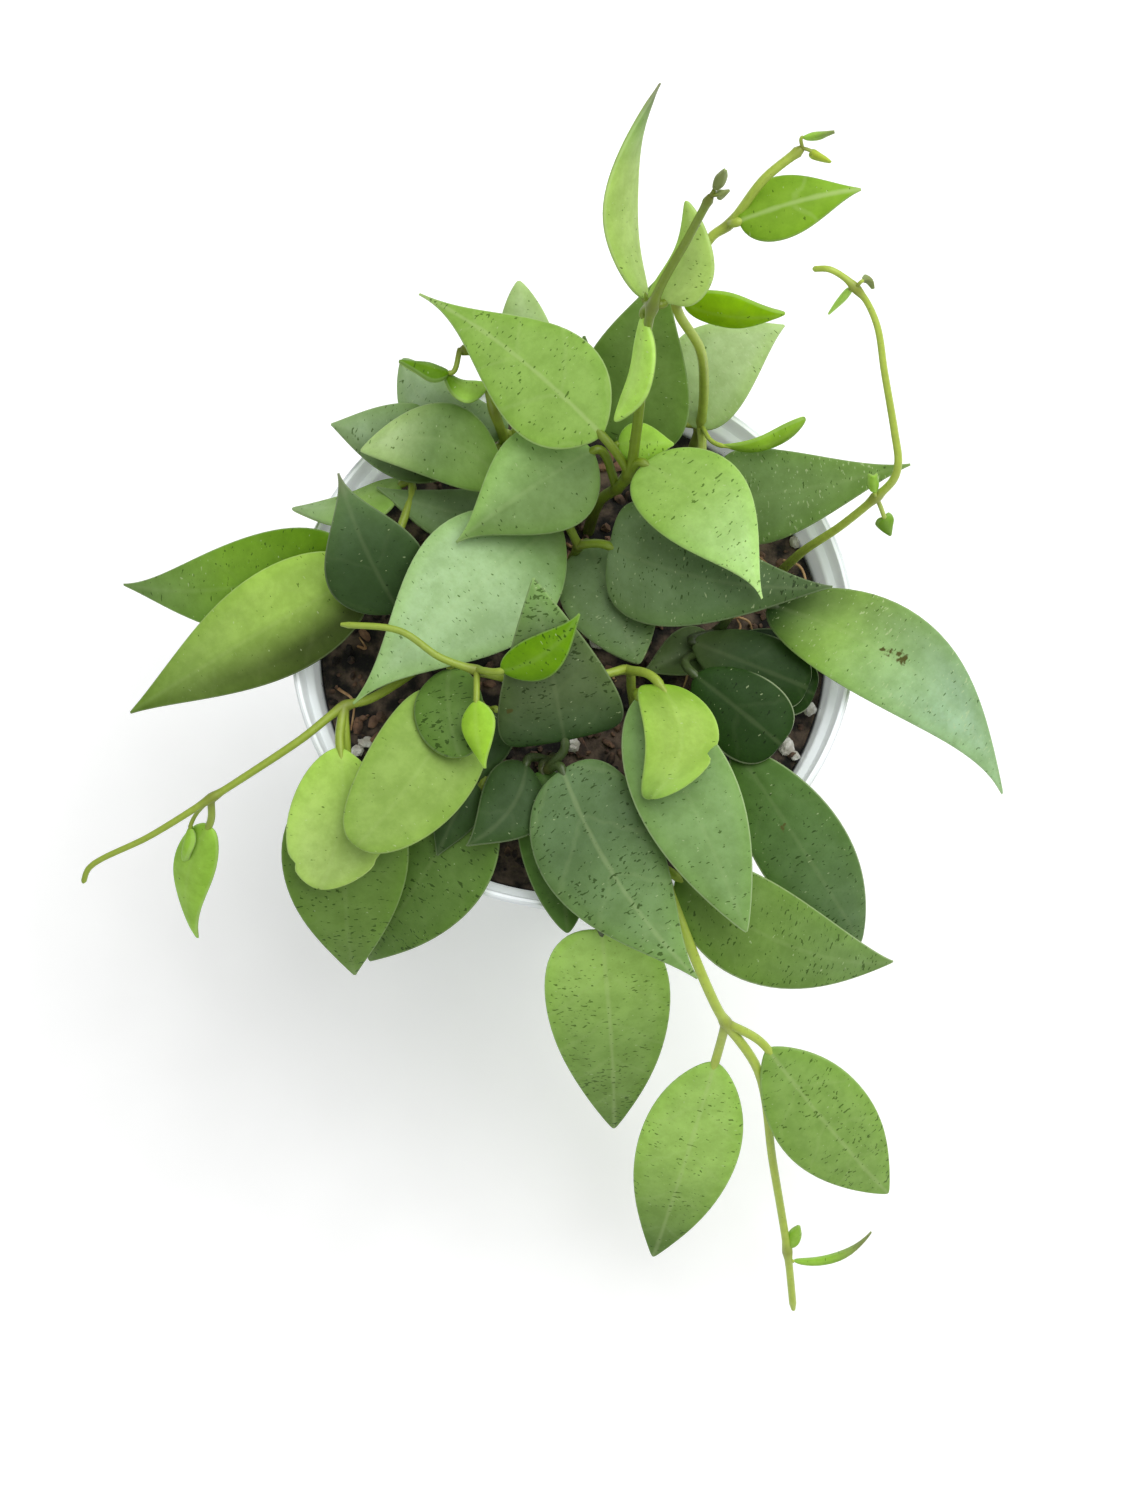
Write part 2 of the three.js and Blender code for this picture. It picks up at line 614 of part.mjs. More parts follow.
function soilSolid() {
  const low = floorThickness + floorFillet + soilGap;
  const edge = insideRadius(soilLevel + soilRings[0][1]) - soilGap;
  const body = turned([
    [0, low], [insideRadius(low) - 2 * soilGap, low],
    ...soilRings.map(([share, height]) => [share * edge, soilLevel + height]),
  ], soilSides);
  const position = body.attributes.position;
  for (let vertex = 0; vertex < position.count; vertex++) {
    const height = position.getZ(vertex);
    if (height > soilLevel + soilRings[0][1] - soilGap) {
      position.setZ(vertex, height + bumpAt(position.getX(vertex), position.getY(vertex)));
    }
  }
  let solid = solidOf(body);
  const random = seeded(41);
  for (let lump = 0; lump < perliteCount + chipCount; lump++) {
    solid = solid.add(lumpSolid(lump < perliteCount, edge, random));
  }
  for (const vine of Object.values(vines)) {
    const [x, y] = vine.stems[0][0];
    const radius = vineRadius(vine) + holeClearance;
    const hole = new THREE.CylinderGeometry(radius, radius, holeLength, stemSides);
    hole.rotateX(Math.PI / 2);
    hole.translate(x, y, rootDepth - soilGap + holeLength / 2);
    solid = solid.subtract(solidOf(hole));
  }
  return solid;
}

const plant = new THREE.Group();

function place(name, solid, colour, roughness) {
  const material = new THREE.MeshStandardMaterial({ color: colour, roughness, metalness: 0 });
  const mesh = new THREE.Mesh(geometryOf(solid), material);
  mesh.name = name;
  plant.add(mesh);
}

place('pot', potSolid(), 0xe6eaf0, 0.35);
place('potting_mix', soilSolid(), 0x2f211c, 0.95);
for (const [name, vine] of Object.entries(vines)) {
  place(name, vineSolid(vine), vine.colour, leafRoughness);
}

export default plant;
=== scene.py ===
# %% [markdown]
# # A small hoya in a nursery pot
#
# The plant has mint green leaves on thin stems that climb and trail, and grows in dark potting
# mix in a thin white pot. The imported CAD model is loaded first. Then each of its nodes is
# replaced by a finer piece of the same form, drawn in the same place and with the same sizes.

# %% Load the frame
import math
import random

import bpy
import numpy as np
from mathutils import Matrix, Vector


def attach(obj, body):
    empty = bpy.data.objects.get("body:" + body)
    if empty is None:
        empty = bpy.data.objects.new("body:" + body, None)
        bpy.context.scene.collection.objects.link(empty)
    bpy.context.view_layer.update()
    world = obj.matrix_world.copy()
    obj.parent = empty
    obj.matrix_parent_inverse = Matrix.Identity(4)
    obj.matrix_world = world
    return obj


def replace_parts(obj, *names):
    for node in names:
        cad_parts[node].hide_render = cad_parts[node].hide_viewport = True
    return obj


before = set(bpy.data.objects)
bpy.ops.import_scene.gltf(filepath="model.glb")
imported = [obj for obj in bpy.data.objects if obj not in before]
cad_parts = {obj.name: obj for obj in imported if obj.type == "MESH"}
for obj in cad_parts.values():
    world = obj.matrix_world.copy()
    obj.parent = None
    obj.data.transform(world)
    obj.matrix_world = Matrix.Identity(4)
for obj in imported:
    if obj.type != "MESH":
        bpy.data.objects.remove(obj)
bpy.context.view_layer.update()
print("nodes", sorted(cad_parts))

# %% [markdown]
# ## Camera
#
# The photograph looks almost straight down on the rim, a little from the front, so all leaves
# spread out like a fan. A camera at the same angle is placed by the point that it aims at, its
# distance and its height above the horizon. Sizes below are in millimetres, so every length is
# multiplied by `MM` on its way into Blender, which counts in metres.

# %% Camera
MM = 0.001
AIM = Vector((-1.95, -21.6, 82.6)) * MM
CAMERA_DISTANCE = 480 * MM
CAMERA_HEIGHT = math.radians(76)
LENS = 62.1

back = Vector((0, -math.cos(CAMERA_HEIGHT), math.sin(CAMERA_HEIGHT)))
bpy.ops.object.camera_add(location=AIM + CAMERA_DISTANCE * back)
camera = bpy.context.object
camera.rotation_euler = (-back).to_track_quat("-Z", "Y").to_euler()
camera.data.lens = LENS
camera.data.clip_start = 0.01
bpy.context.scene.camera = camera
print("camera at", [round(1000 * value) for value in camera.location])

# %% [markdown]
# ## Floor and light
#
# A plain pale floor stands in for a studio table. The light is soft and comes from above: one
# large lamp behind the plant at the right, a weaker one in front, and an even pale sky. The sky
# is weak, so that the gaps between the leaves stay dark. The standard view transform keeps the
# white floor white.

# %% Floor and light
FLOOR_SIZE = 6.0
FLOOR_DROP = 0.1 * MM
KEY_PLACE = Vector((0.4, 0.3, 1.0))
KEY_SIZE = 1.2
KEY_WATTS = 13.2
FILL_PLACE = Vector((-0.6, -0.7, 0.9))
FILL_SIZE = 1.0
FILL_WATTS = 2.9
SKY_STRENGTH = 0.28


def soft_lamp(name, place, size, watts):
    bpy.ops.object.light_add(type="AREA", location=place)
    lamp = bpy.context.object
    lamp.name = name
    lamp.data.size = size
    lamp.data.energy = watts
    lamp.rotation_euler = (place - AIM).to_track_quat("Z", "Y").to_euler()
    return lamp


bpy.ops.mesh.primitive_plane_add(size=FLOOR_SIZE, location=(0, 0, -FLOOR_DROP))
floor = bpy.context.object
floor.name = "floor"
soft_lamp("key_lamp", KEY_PLACE, KEY_SIZE, KEY_WATTS)
soft_lamp("fill_lamp", FILL_PLACE, FILL_SIZE, FILL_WATTS)
world = bpy.data.worlds.new("pale_sky")
world.use_nodes = True
world.node_tree.nodes["Background"].inputs["Color"].default_value = (1, 1, 1, 1)
world.node_tree.nodes["Background"].inputs["Strength"].default_value = SKY_STRENGTH
bpy.context.scene.world = world
bpy.context.scene.view_settings.view_transform = "Standard"

# %% [markdown]
# ## Helpers for materials
#
# Colours are written as they look on a screen, from 0 to 255, and turned into Blender's linear
# values. `put` adds one shader node with its settings and wires what feeds it, so that a
# material reads as a short list from its pattern to its shader.

# %% Helpers for materials
def colour(red, green, blue):
    """A screen colour from 0 to 255 as Blender's linear red, green, blue and alpha."""
    linear = []
    for value in (red, green, blue):
        share = value / 255
        linear.append(share / 12.92 if share <= 0.04045 else ((share + 0.055) / 1.055) ** 2.4)
    return (*linear, 1.0)


def put(tree, kind, feeds=None, **settings):
    """Adds a shader node. feeds gives its inputs a fixed value or another node's output."""
    made = tree.nodes.new(kind)
    for key, value in settings.items():
        setattr(made, key, value)
    for key, value in (feeds or {}).items():
        if isinstance(value, bpy.types.NodeSocket):
            tree.links.new(value, made.inputs[key])
        else:
            made.inputs[key].default_value = value
    return made


def maths(tree, operation, first, second=0.0):
    return put(tree, "ShaderNodeMath", {0: first, 1: second}, operation=operation).outputs[0]


def blended(tree, share, first, second, blend_type="MIX"):
    """The first colour where share is 0 and the second where it is 1."""
    mix = put(tree, "ShaderNodeMix", {"Factor": share, 6: first, 7: second},
              data_type="RGBA", blend_type=blend_type)
    return mix.outputs[2]


def multiplied(tree, share, tone, factors):
    """The tone times the factors for red, green and blue, as far as share says."""
    return blended(tree, share, tone, (*factors, 1), "MULTIPLY")


print("white on screen", colour(255, 255, 255))

# %% [markdown]
# Most patterns here start as a noise. A smooth ramp then cuts out the range of it that shows,
# and the same noise may also raise the surface a little.

# %% Helpers for patterns
def noise(tree, place, scale, detail=2.0, roughness=0.5):
    feeds = {"Vector": place, "Scale": scale, "Detail": detail, "Roughness": roughness}
    return put(tree, "ShaderNodeTexNoise", feeds).outputs[0]


def ramp(tree, value, low, high, start=0.0, end=1.0):
    """Runs from start to end, smoothly, as value goes from low to high."""
    feeds = {"Value": value, "From Min": low, "From Max": high, "To Min": start, "To Max": end}
    return put(tree, "ShaderNodeMapRange", feeds, interpolation_type="SMOOTHSTEP").outputs[0]


def bumped(tree, shader, height, strength, depth):
    """Gives the shader a relief of a depth in mm."""
    bump = put(tree, "ShaderNodeBump",
               {"Height": height, "Strength": strength, "Distance": depth * MM})
    tree.links.new(bump.outputs[0], shader.inputs["Normal"])


print("helpers", noise.__name__, ramp.__name__, bumped.__name__, "are ready")

# %% [markdown]
# A material is one Principled shader, with everything that makes its colour and relief in front
# of it. An effect that is used more than once is a group of nodes with named sockets.

# %% Helpers for new materials
def new_material(name):
    """A material with a Principled shader, and its node tree."""
    material = bpy.data.materials.new(name)
    material.use_nodes = True
    return material, material.node_tree, material.node_tree.nodes["Principled BSDF"]


def new_group(name, inputs, outputs):
    """A shader node group with named sockets, and its two ends."""
    tree = bpy.data.node_groups.new(name, "ShaderNodeTree")
    for socket, kind in inputs.items():
        tree.interface.new_socket(socket, in_out="INPUT", socket_type=kind)
    for socket, kind in outputs.items():
        tree.interface.new_socket(socket, in_out="OUTPUT", socket_type=kind)
    return tree, tree.nodes.new("NodeGroupInput"), tree.nodes.new("NodeGroupOutput")


def use_group(tree, group, feeds):
    return put(tree, "ShaderNodeGroup", feeds, node_tree=group)


print("materials so far", len(bpy.data.materials))

# %% [markdown]
# The floor's paper is nearly white, with a faint grain that keeps it from looking like a void.
# It glows a little, a painted light that no lamp gives, so the plant's shadow on it stays pale.

# %% Floor paper
FLOOR_WHITE = colour(246, 246, 246)
FLOOR_GRAIN = colour(249, 249, 249)
FLOOR_GLOW = 0.2

paper, tree, shader = new_material("pale_paper")
place = put(tree, "ShaderNodeTexCoord").outputs["Object"]
grain = ramp(tree, noise(tree, place, 60.0, 4.0), 0.3, 0.7)
tree.links.new(blended(tree, grain, FLOOR_WHITE, FLOOR_GRAIN), shader.inputs["Base Color"])
shader.inputs["Roughness"].default_value = 0.9
shader.inputs["Emission Color"].default_value = (1, 1, 1, 1)
shader.inputs["Emission Strength"].default_value = FLOOR_GLOW
floor.data.materials.append(paper)
print("floor material", paper.name)

# %% [markdown]
# ## Helpers for modelling
#
# An operator acts on everything that is selected, so each one starts from a clean selection. A
# finished piece has its object at the origin and its place in its mesh, and rides on the part's
# only body.

# %% Helpers for modelling
def start_clean():
    if bpy.context.mode != "OBJECT":
        bpy.ops.object.mode_set(mode="OBJECT")
    bpy.ops.object.select_all(action="DESELECT")


def settle(piece, name, material):
    """Names a finished piece, puts its place into its mesh and lets it ride on the root."""
    start_clean()
    piece.select_set(True)
    bpy.context.view_layer.objects.active = piece
    bpy.ops.object.transform_apply(location=True, rotation=True, scale=True)
    piece.name = name
    piece.data.name = name
    if material and material.name not in piece.data.materials:
        piece.data.materials.append(material)
    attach(piece, "root")
    triangles = sum(len(face.vertices) - 2 for face in piece.data.polygons)
    print(name, triangles, "triangles")
    return piece


def joined(pieces):
    """Joins several mesh objects into the first."""
    start_clean()
    for piece in pieces:
        piece.select_set(True)
    bpy.context.view_layer.objects.active = pieces[0]
    bpy.ops.object.join()
    return bpy.context.object


def apply_modifier(piece, kind, **settings):
    start_clean()
    piece.select_set(True)
    bpy.context.view_layer.objects.active = piece
    modifier = piece.modifiers.new(kind.lower(), kind)
    for key, value in settings.items():
        setattr(modifier, key, value)
    bpy.ops.object.modifier_apply(modifier=modifier.name)


def smooth_by_angle(piece, degrees):
    start_clean()
    piece.select_set(True)
    bpy.context.view_layer.objects.active = piece
    bpy.ops.object.shade_smooth_by_angle(angle=math.radians(degrees))


print("pieces of the frame", len(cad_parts))

# %% [markdown]
# Round things are drawn up ring by ring, as on a potter's wheel: a disc is extruded upwards and
# scaled to the next radius, again and again.

# %% Turning a profile
def turned(name, profile, sides):
    """A disc drawn up along a profile of radii and heights, in mm."""
    start_clean()
    radius, height = profile[0]
    bpy.ops.mesh.primitive_circle_add(
        vertices=sides, radius=radius * MM, fill_type="NGON", location=(0, 0, height * MM))
    piece = bpy.context.object
    piece.name = name
    bpy.ops.object.mode_set(mode="EDIT")
    for next_radius, next_height in profile[1:]:
        scale = next_radius / radius
        bpy.ops.mesh.extrude_region_move(
            TRANSFORM_OT_translate={"value": (0, 0, (next_height - height) * MM)})
        bpy.ops.transform.resize(
            value=(scale, scale, 1), center_override=(0, 0, next_height * MM))
        radius, height = next_radius, next_height
    bpy.ops.mesh.select_all(action="SELECT")
    bpy.ops.mesh.normals_make_consistent(inside=False)
    bpy.ops.object.mode_set(mode="OBJECT")
    return piece


print("helper", turned.__name__, "is ready")

# %% [markdown]
# ## The pot
#
# A nursery pot is blown or moulded from a thin sheet of white plastic: a cone with a turned-out
# collar, a rounded lip and drain holes in its floor. It could be spun from a profile. Here a
# disc is extruded and scaled from the base up the outside, over the lip and down the inside,
# which gives one closed wall of even thickness, and the holes are cut with a Boolean. The sizes
# are those of the CAD model, with the lip and the corners rounded further.

# %% Pot sizes
RIM_RADIUS = 52.5
BASE_RADIUS = 36
WALL = 1
FLOOR_THICKNESS = 1.6
NECK_HEIGHT = 82.5
NECK_INSIDE = 48.9
POT_SIDES = 128
RIB_HEIGHTS = (20, 40, 60)
RIB_DEPTH = 0.25
DRAIN_RADIUS = 3.4
DRAIN_CIRCLE = 24
DRAIN_COUNT = 6


def inside_radius(height):
    """The inside radius of the tapering wall at a height."""
    return BASE_RADIUS + (NECK_INSIDE - BASE_RADIUS) * height / NECK_HEIGHT


print("inside radius at the neck", inside_radius(NECK_HEIGHT), "at the base", inside_radius(0))

# %% Pot
outside = [(BASE_RADIUS - 1.5, 0), (BASE_RADIUS, 0), (BASE_RADIUS + 0.8, 0.25),
           (BASE_RADIUS + 1.1, 1)]
for rib in RIB_HEIGHTS:
    wall_radius = inside_radius(rib) + WALL
    outside += [(wall_radius - 0.13, rib - 1), (wall_radius + RIB_DEPTH, rib - 0.4),
                (wall_radius + RIB_DEPTH, rib + 0.4), (wall_radius + 0.13, rib + 1)]
collar = [(49.9, 82.2), (50.2, 82.6), (51.5, 83.1), (51.75, 83.6), (52.2, 86.6), (52.5, 86.9),
          (52.5, 87.6), (52.25, 87.95), (51.85, 88), (51.4, 87.9), (51.15, 87.5),
          (50.7, 84.6), (50.4, 84.0), (49.3, 83.7), (48.95, 83.4), (48.8, 82.8)]
inside = [(inside_radius(height) - 0.05, height) for height in (70, 50, 30, 10)]
bottom = [(inside_radius(3.4), 3.4), (inside_radius(2.4) - 0.2, 2.4),
          (inside_radius(0) - 1, FLOOR_THICKNESS + 0.1), (20, FLOOR_THICKNESS)]
pot = turned("pot_wall", outside + collar + inside + bottom, POT_SIDES)
print("pot", len(pot.data.polygons), "faces")

# %% [markdown]
# The drain holes lie on a circle. One drill of six cylinders cuts them all at once.

# %% Drain holes
start_clean()
drills = []
for hole in range(DRAIN_COUNT):
    angle = math.tau * hole / DRAIN_COUNT
    place = (DRAIN_CIRCLE * math.cos(angle) * MM, DRAIN_CIRCLE * math.sin(angle) * MM, 0)
    bpy.ops.mesh.primitive_cylinder_add(
        vertices=32, radius=DRAIN_RADIUS * MM, depth=4 * FLOOR_THICKNESS * MM, location=place)
    drills.append(bpy.context.object)
drill = joined(drills)
apply_modifier(pot, "BOOLEAN", object=drill, operation="DIFFERENCE", solver="EXACT")
bpy.data.objects.remove(drill)
smooth_by_angle(pot, 40)
print("drain holes", DRAIN_COUNT)

# %% [markdown]
# The plastic lets a little light through, so the wall looks bright above the potting mix and
# greyer where the dark mix lies behind it; that greyer band is painted shade. Its step follows
# the object's height, with a ragged edge, and fine specks of mix cling to the inside just above
# it. The light that comes through the thin wall is painted as a faint glow on its inside, above
# the mix. The inside is told from the outside by the distance from the axis, less what the wall
# leans out by at that height.

# %% Pot plastic
PLASTIC_LIGHT = colour(240, 245, 247)
# Painted shade: the wall is greyer where the dark mix lies behind it.
PLASTIC_SHADED_BY_MIX = colour(224, 230, 233)
PLASTIC_CLOUD = colour(222, 230, 238)
SPECK_BROWN = colour(60, 50, 44)
SOIL_LINE = 77.0
WALL_SLOPE = (NECK_INSIDE - BASE_RADIUS) / NECK_HEIGHT
COLLAR_HEIGHT = 83.3
COLLAR_MIDDLE = 38.1
LIGHT_THROUGH = 0.22

plastic, tree, shader = new_material("pot_plastic")
place = put(tree, "ShaderNodeTexCoord").outputs["Object"]
height = put(tree, "ShaderNodeSeparateXYZ", {0: place}).outputs[2]
level = put(tree, "ShaderNodeVectorMath", {0: place, 1: (1, 1, 0)}, operation="MULTIPLY")
radius = put(tree, "ShaderNodeVectorMath", {0: level.outputs[0]}, operation="LENGTH").outputs[1]
ragged = noise(tree, place, 220.0, 3.0)
line = maths(tree, "ADD", height, maths(tree, "MULTIPLY", ragged, 4 * MM))
# Painted shade: the wall is greyer below the ragged mix line.
mix_shade = ramp(tree, line, (SOIL_LINE - 1) * MM, (SOIL_LINE + 3) * MM, 1.0, 0.0)
body_tone = blended(tree, mix_shade, PLASTIC_LIGHT, PLASTIC_SHADED_BY_MIX)
cloud = noise(tree, place, 45.0, 5.0)
cloudy = blended(tree, ramp(tree, cloud, 0.35, 0.75, 0.0, 0.3), body_tone, PLASTIC_CLOUD)
specks = ramp(tree, noise(tree, place, 900.0, 1.0), 0.71, 0.74)
leaning = maths(tree, "SUBTRACT", radius, maths(tree, "MULTIPLY", height, WALL_SLOPE))
middle = ramp(tree, height, COLLAR_HEIGHT * MM, (COLLAR_HEIGHT + 0.3) * MM,
              (BASE_RADIUS + 0.5 * WALL) * MM, COLLAR_MIDDLE * MM)
within = maths(tree, "LESS_THAN", leaning, middle)
near_soil = maths(tree, "MULTIPLY", ramp(tree, height, 82 * MM, 78 * MM), within)
plastic_tone = blended(tree, maths(tree, "MULTIPLY", specks, near_soil), cloudy, SPECK_BROWN)
tree.links.new(plastic_tone, shader.inputs["Base Color"])
shader.inputs["Roughness"].default_value = 0.36
glow = blended(tree, maths(tree, "MULTIPLY", within, ramp(tree, height, 76 * MM, 79 * MM)),
               (0, 0, 0, 1), PLASTIC_LIGHT)
tree.links.new(glow, shader.inputs["Emission Color"])
shader.inputs["Emission Strength"].default_value = LIGHT_THROUGH
bumped(tree, shader, cloud, 0.15, 0.4)
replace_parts(settle(pot, "pot_wall", plastic), "pot")

# %% [markdown]
# ## The potting mix
#
# The mix is a loose heap of bark fibre, peat and white perlite. Its bulk is one turned solid
# whose top is pushed about by two cloud textures. On it lie hundreds of crumbs, copied from one
# small rough grain, each with its own size and turn, and larger chips of bark.

# %% Potting mix
SOIL_LEVEL = 78.5
SOIL_EDGE = inside_radius(77) - 0.55
SOIL_LOW = 2.95
SOIL_SIDES = 160
SOIL_RINGS = 30
CRUMB_RELIEF = 1.6


def soil_height(radius):
    """The height of the mix before its relief, at a distance from the centre: a low dome."""
    share = min(radius / SOIL_EDGE, 1)
    return SOIL_LEVEL + 1.2 - 2.4 * share ** 5


rings = [(SOIL_EDGE * (1 - ring / SOIL_RINGS), soil_height(SOIL_EDGE * (1 - ring / SOIL_RINGS)))
         for ring in range(SOIL_RINGS)]
low_radius = inside_radius(SOIL_LOW) - 1.1
soil = turned("soil", [(low_radius, SOIL_LOW), (low_radius + 0.3, SOIL_LOW + 0.5),
                       (SOIL_EDGE, SOIL_LEVEL - 2.5), *rings], SOIL_SIDES)
top = soil.vertex_groups.new(name="top")
top.add([v.index for v in soil.data.vertices if v.co.z > (SOIL_LEVEL - 2) * MM], 1.0, "ADD")
for name, size, strength in (("clods", 6, 1.0), ("crumbs", 1.6, 0.7)):
    texture = bpy.data.textures.new(name, "CLOUDS")
    texture.noise_scale = size * MM
    texture.noise_depth = 2
    apply_modifier(soil, "DISPLACE", texture=texture, vertex_group="top", direction="Z",
                   strength=strength * CRUMB_RELIEF * MM, mid_level=0.6,
                   texture_coords="LOCAL")
smooth_by_angle(soil, 50)
print("soil", len(soil.data.polygons), "faces")

# %% [markdown]
# Each grain starts as a small ball of triangles that is roughened once by a cloud texture. A
# copy is stretched, turned and laid on the surface. Random numbers come from a fixed seed, so
# the heap is the same each time the script runs.

# %% Scattering
def rough_grain(name, subdivisions, relief):
    """One rough ball of radius 1, to be copied."""
    start_clean()
    bpy.ops.mesh.primitive_ico_sphere_add(subdivisions=subdivisions, radius=1)
    grain = bpy.context.object
    grain.name = name
    texture = bpy.data.textures.new(name, "CLOUDS")
    texture.noise_scale = 0.7
    apply_modifier(grain, "DISPLACE", texture=texture, strength=relief, mid_level=0.5)
    return grain


def laid(grain, place, size, turn):
    """A copy of the grain at a place in mm, stretched to a size and turned."""
    copy = grain.copy()
    copy.data = grain.data.copy()
    bpy.context.scene.collection.objects.link(copy)
    copy.location = Vector(place) * MM
    copy.scale = Vector(size) * MM
    copy.rotation_euler = turn
    return copy


def anywhere(chance, reach):
    """A random place on the mix, within a distance of its centre."""
    angle = chance.uniform(0, math.tau)
    distance = reach * math.sqrt(chance.random())
    return distance * math.cos(angle), distance * math.sin(angle), soil_height(distance)


def any_turn(chance):
    return [chance.uniform(0, math.tau) for _ in range(3)]


crumb = rough_grain("crumb", 1, 0.9)
print("crumb", len(crumb.data.polygons), "faces")

# %% [markdown]
# Most crumbs are small and a little longer than wide. The chips of bark are flat and larger, and
# lie nearly level.

# %% Crumbs and bark
CRUMB_COUNT = 900
BARK_COUNT = 46
chance = random.Random(7)
crumbs = []
for _ in range(CRUMB_COUNT):
    x, y, z = anywhere(chance, SOIL_EDGE - 1.2)
    size = chance.uniform(0.35, 1.15)
    stretch = (size * chance.uniform(1, 2.2), size, size * chance.uniform(0.5, 1))
    crumbs.append(laid(crumb, (x, y, z + 0.1), stretch, any_turn(chance)))
bark = []
for _ in range(BARK_COUNT):
    x, y, z = anywhere(chance, SOIL_EDGE - 3.5)
    length = chance.uniform(1.8, 3.4)
    turn = (chance.uniform(-0.4, 0.4), chance.uniform(-0.4, 0.4), chance.uniform(0, math.tau))
    bark.append(laid(crumb, (x, y, z + 0.4), (length, 0.5 * length, 0.55), turn))
print("crumbs", len(crumbs), "bark", len(bark))

# %% [markdown]
# Perlite is puffed white volcanic glass, in pitted grains. Some of the grains that can be seen
# between the leaves are laid at listed places, and the rest fall anywhere.

# %% Perlite
PERLITE_PLACES = [(42.5, 20.5), (41, 23), (44.5, -12.5), (40, -20), (41.5, -21.5), (0, -20),
                  (-40.5, -21)]
PERLITE_COUNT = 26
pearl = rough_grain("pearl", 3, 0.8)
pearls = []
for x, y in PERLITE_PLACES:
    size = chance.uniform(1.1, 1.9)
    z = soil_height(math.hypot(x, y)) + 0.5
    pearls.append(laid(pearl, (x, y, z), (size, 0.8 * size, 0.8 * size), any_turn(chance)))
for _ in range(PERLITE_COUNT):
    x, y, z = anywhere(chance, SOIL_EDGE - 2.5)
    size = chance.uniform(0.6, 1.7)
    pearls.append(laid(pearl, (x, y, z + 0.3), (1.2 * size, size, 0.8 * size), any_turn(chance)))
print("perlite", len(pearls))

# %% [markdown]
# Thin things such as straws, root hairs and stems are curves first: a line through a few points
# with a round bevel, whose radius may change along the way, then converted to a mesh.

# %% Curves to tubes
def smooth_path(points, per_span=6):
    """Points along a smooth curve through the given ones, closer where they are closer."""
    fixed = [np.array(point, float) for point in points]
    fixed = [2 * fixed[0] - fixed[1], *fixed, 2 * fixed[-1] - fixed[-2]]
    path = []
    for p0, p1, p2, p3 in zip(fixed, fixed[1:], fixed[2:], fixed[3:]):
        d0, d1, d2 = [math.sqrt(np.linalg.norm(b - a)) for a, b in ((p0, p1), (p1, p2), (p2, p3))]
        start = ((p1 - p0) / d0 - (p2 - p0) / (d0 + d1) + (p2 - p1) / d1) * d1
        end = ((p2 - p1) / d1 - (p3 - p1) / (d1 + d2) + (p3 - p2) / d2) * d1
        for step in range(per_span):
            t = step / per_span
            curve = (2 * t**3 - 3 * t**2 + 1) * p1 + (t**3 - 2 * t**2 + t) * start
            path.append(curve + (3 * t**2 - 2 * t**3) * p2 + (t**3 - t**2) * end)
    path.append(fixed[-2])
    return np.array(path)


def tubes(name, paths, round_steps=2):
    """One mesh of round tubes. paths holds pairs of points and radii, in mm."""
    start_clean()
    bpy.ops.curve.primitive_bezier_curve_add()
    piece = bpy.context.object
    piece.name = name
    piece.data.splines.clear()
    piece.data.bevel_depth = MM
    piece.data.bevel_resolution = round_steps
    piece.data.use_fill_caps = True
    for points, radii in paths:
        spline = piece.data.splines.new("POLY")
        spline.points.add(len(points) - 1)
        for knot, point, radius in zip(spline.points, points, radii):
            knot.co = (*(np.array(point) * MM), 1)
            knot.radius = radius
    bpy.ops.object.convert(target="MESH")
    bpy.ops.object.shade_smooth()
    return bpy.context.object


print("a path of three points becomes", len(smooth_path([(0, 0, 0), (1, 0, 0), (1, 1, 0)])))

# %% [markdown]
# A few root hairs that show in the photograph are laid one by one, with a straw at the left. The
# others are short arcs anywhere on the mix.

# %% Root hairs
LAID_FIBRES = [
    [(-22, -31.5, 83), (-26, -36.5, 84), (-27.5, -39.5, 82)],
    [(40, 16, 80.5), (43, 14, 82.5), (44, 10.5, 81.8), (43, 8.5, 79.8)],
    [(28, 2, 80), (30, 4, 82.5), (33, 3.5, 82), (34, 1.5, 79.8)],
    [(30, 0, 80), (31.5, 2.5, 81.5), (31, 4.5, 80)],
    [(36, 24, 80), (40, 26, 81.5), (44, 24, 80)],
    [(-44, -9, 79.5), (-41, -12, 81.5), (-41.5, -17, 79.5)],
]
FIBRE_COUNT = 22

lines = list(LAID_FIBRES)
for _ in range(FIBRE_COUNT):
    x, y, z = anywhere(chance, SOIL_EDGE - 6)
    bend = [chance.uniform(-3, 3) for _ in range(4)]
    lines.append([(x, y, z), (x + bend[0], y + bend[1], z + 1.4),
                  (x + bend[0] + bend[2], y + bend[1] + bend[3], z)])
paths = [smooth_path(line) for line in lines]
root_hairs = tubes("root_hairs", [(path, np.linspace(0.32, 0.16, len(path))) for path in paths], 1)
print("fibres", len(paths))

# %% [markdown]
# The mix is nearly black where it is moist and brown on its crumbs. Perlite is a dull white,
# stained a little, and the dry fibres are tan.

# %% Potting mix materials
def mineral(name, dark, light, scale, roughness, relief):
    """A rough material that runs between two colours, with a grainy surface."""
    material, tree, shader = new_material(name)
    place = put(tree, "ShaderNodeTexCoord").outputs["Object"]
    tone = blended(tree, ramp(tree, noise(tree, place, scale, 6.0), 0.38, 0.68), dark, light)
    tree.links.new(tone, shader.inputs["Base Color"])
    bumped(tree, shader, noise(tree, place, 6 * scale, 3.0), 0.6, relief)
    shader.inputs["Roughness"].default_value = roughness
    return material


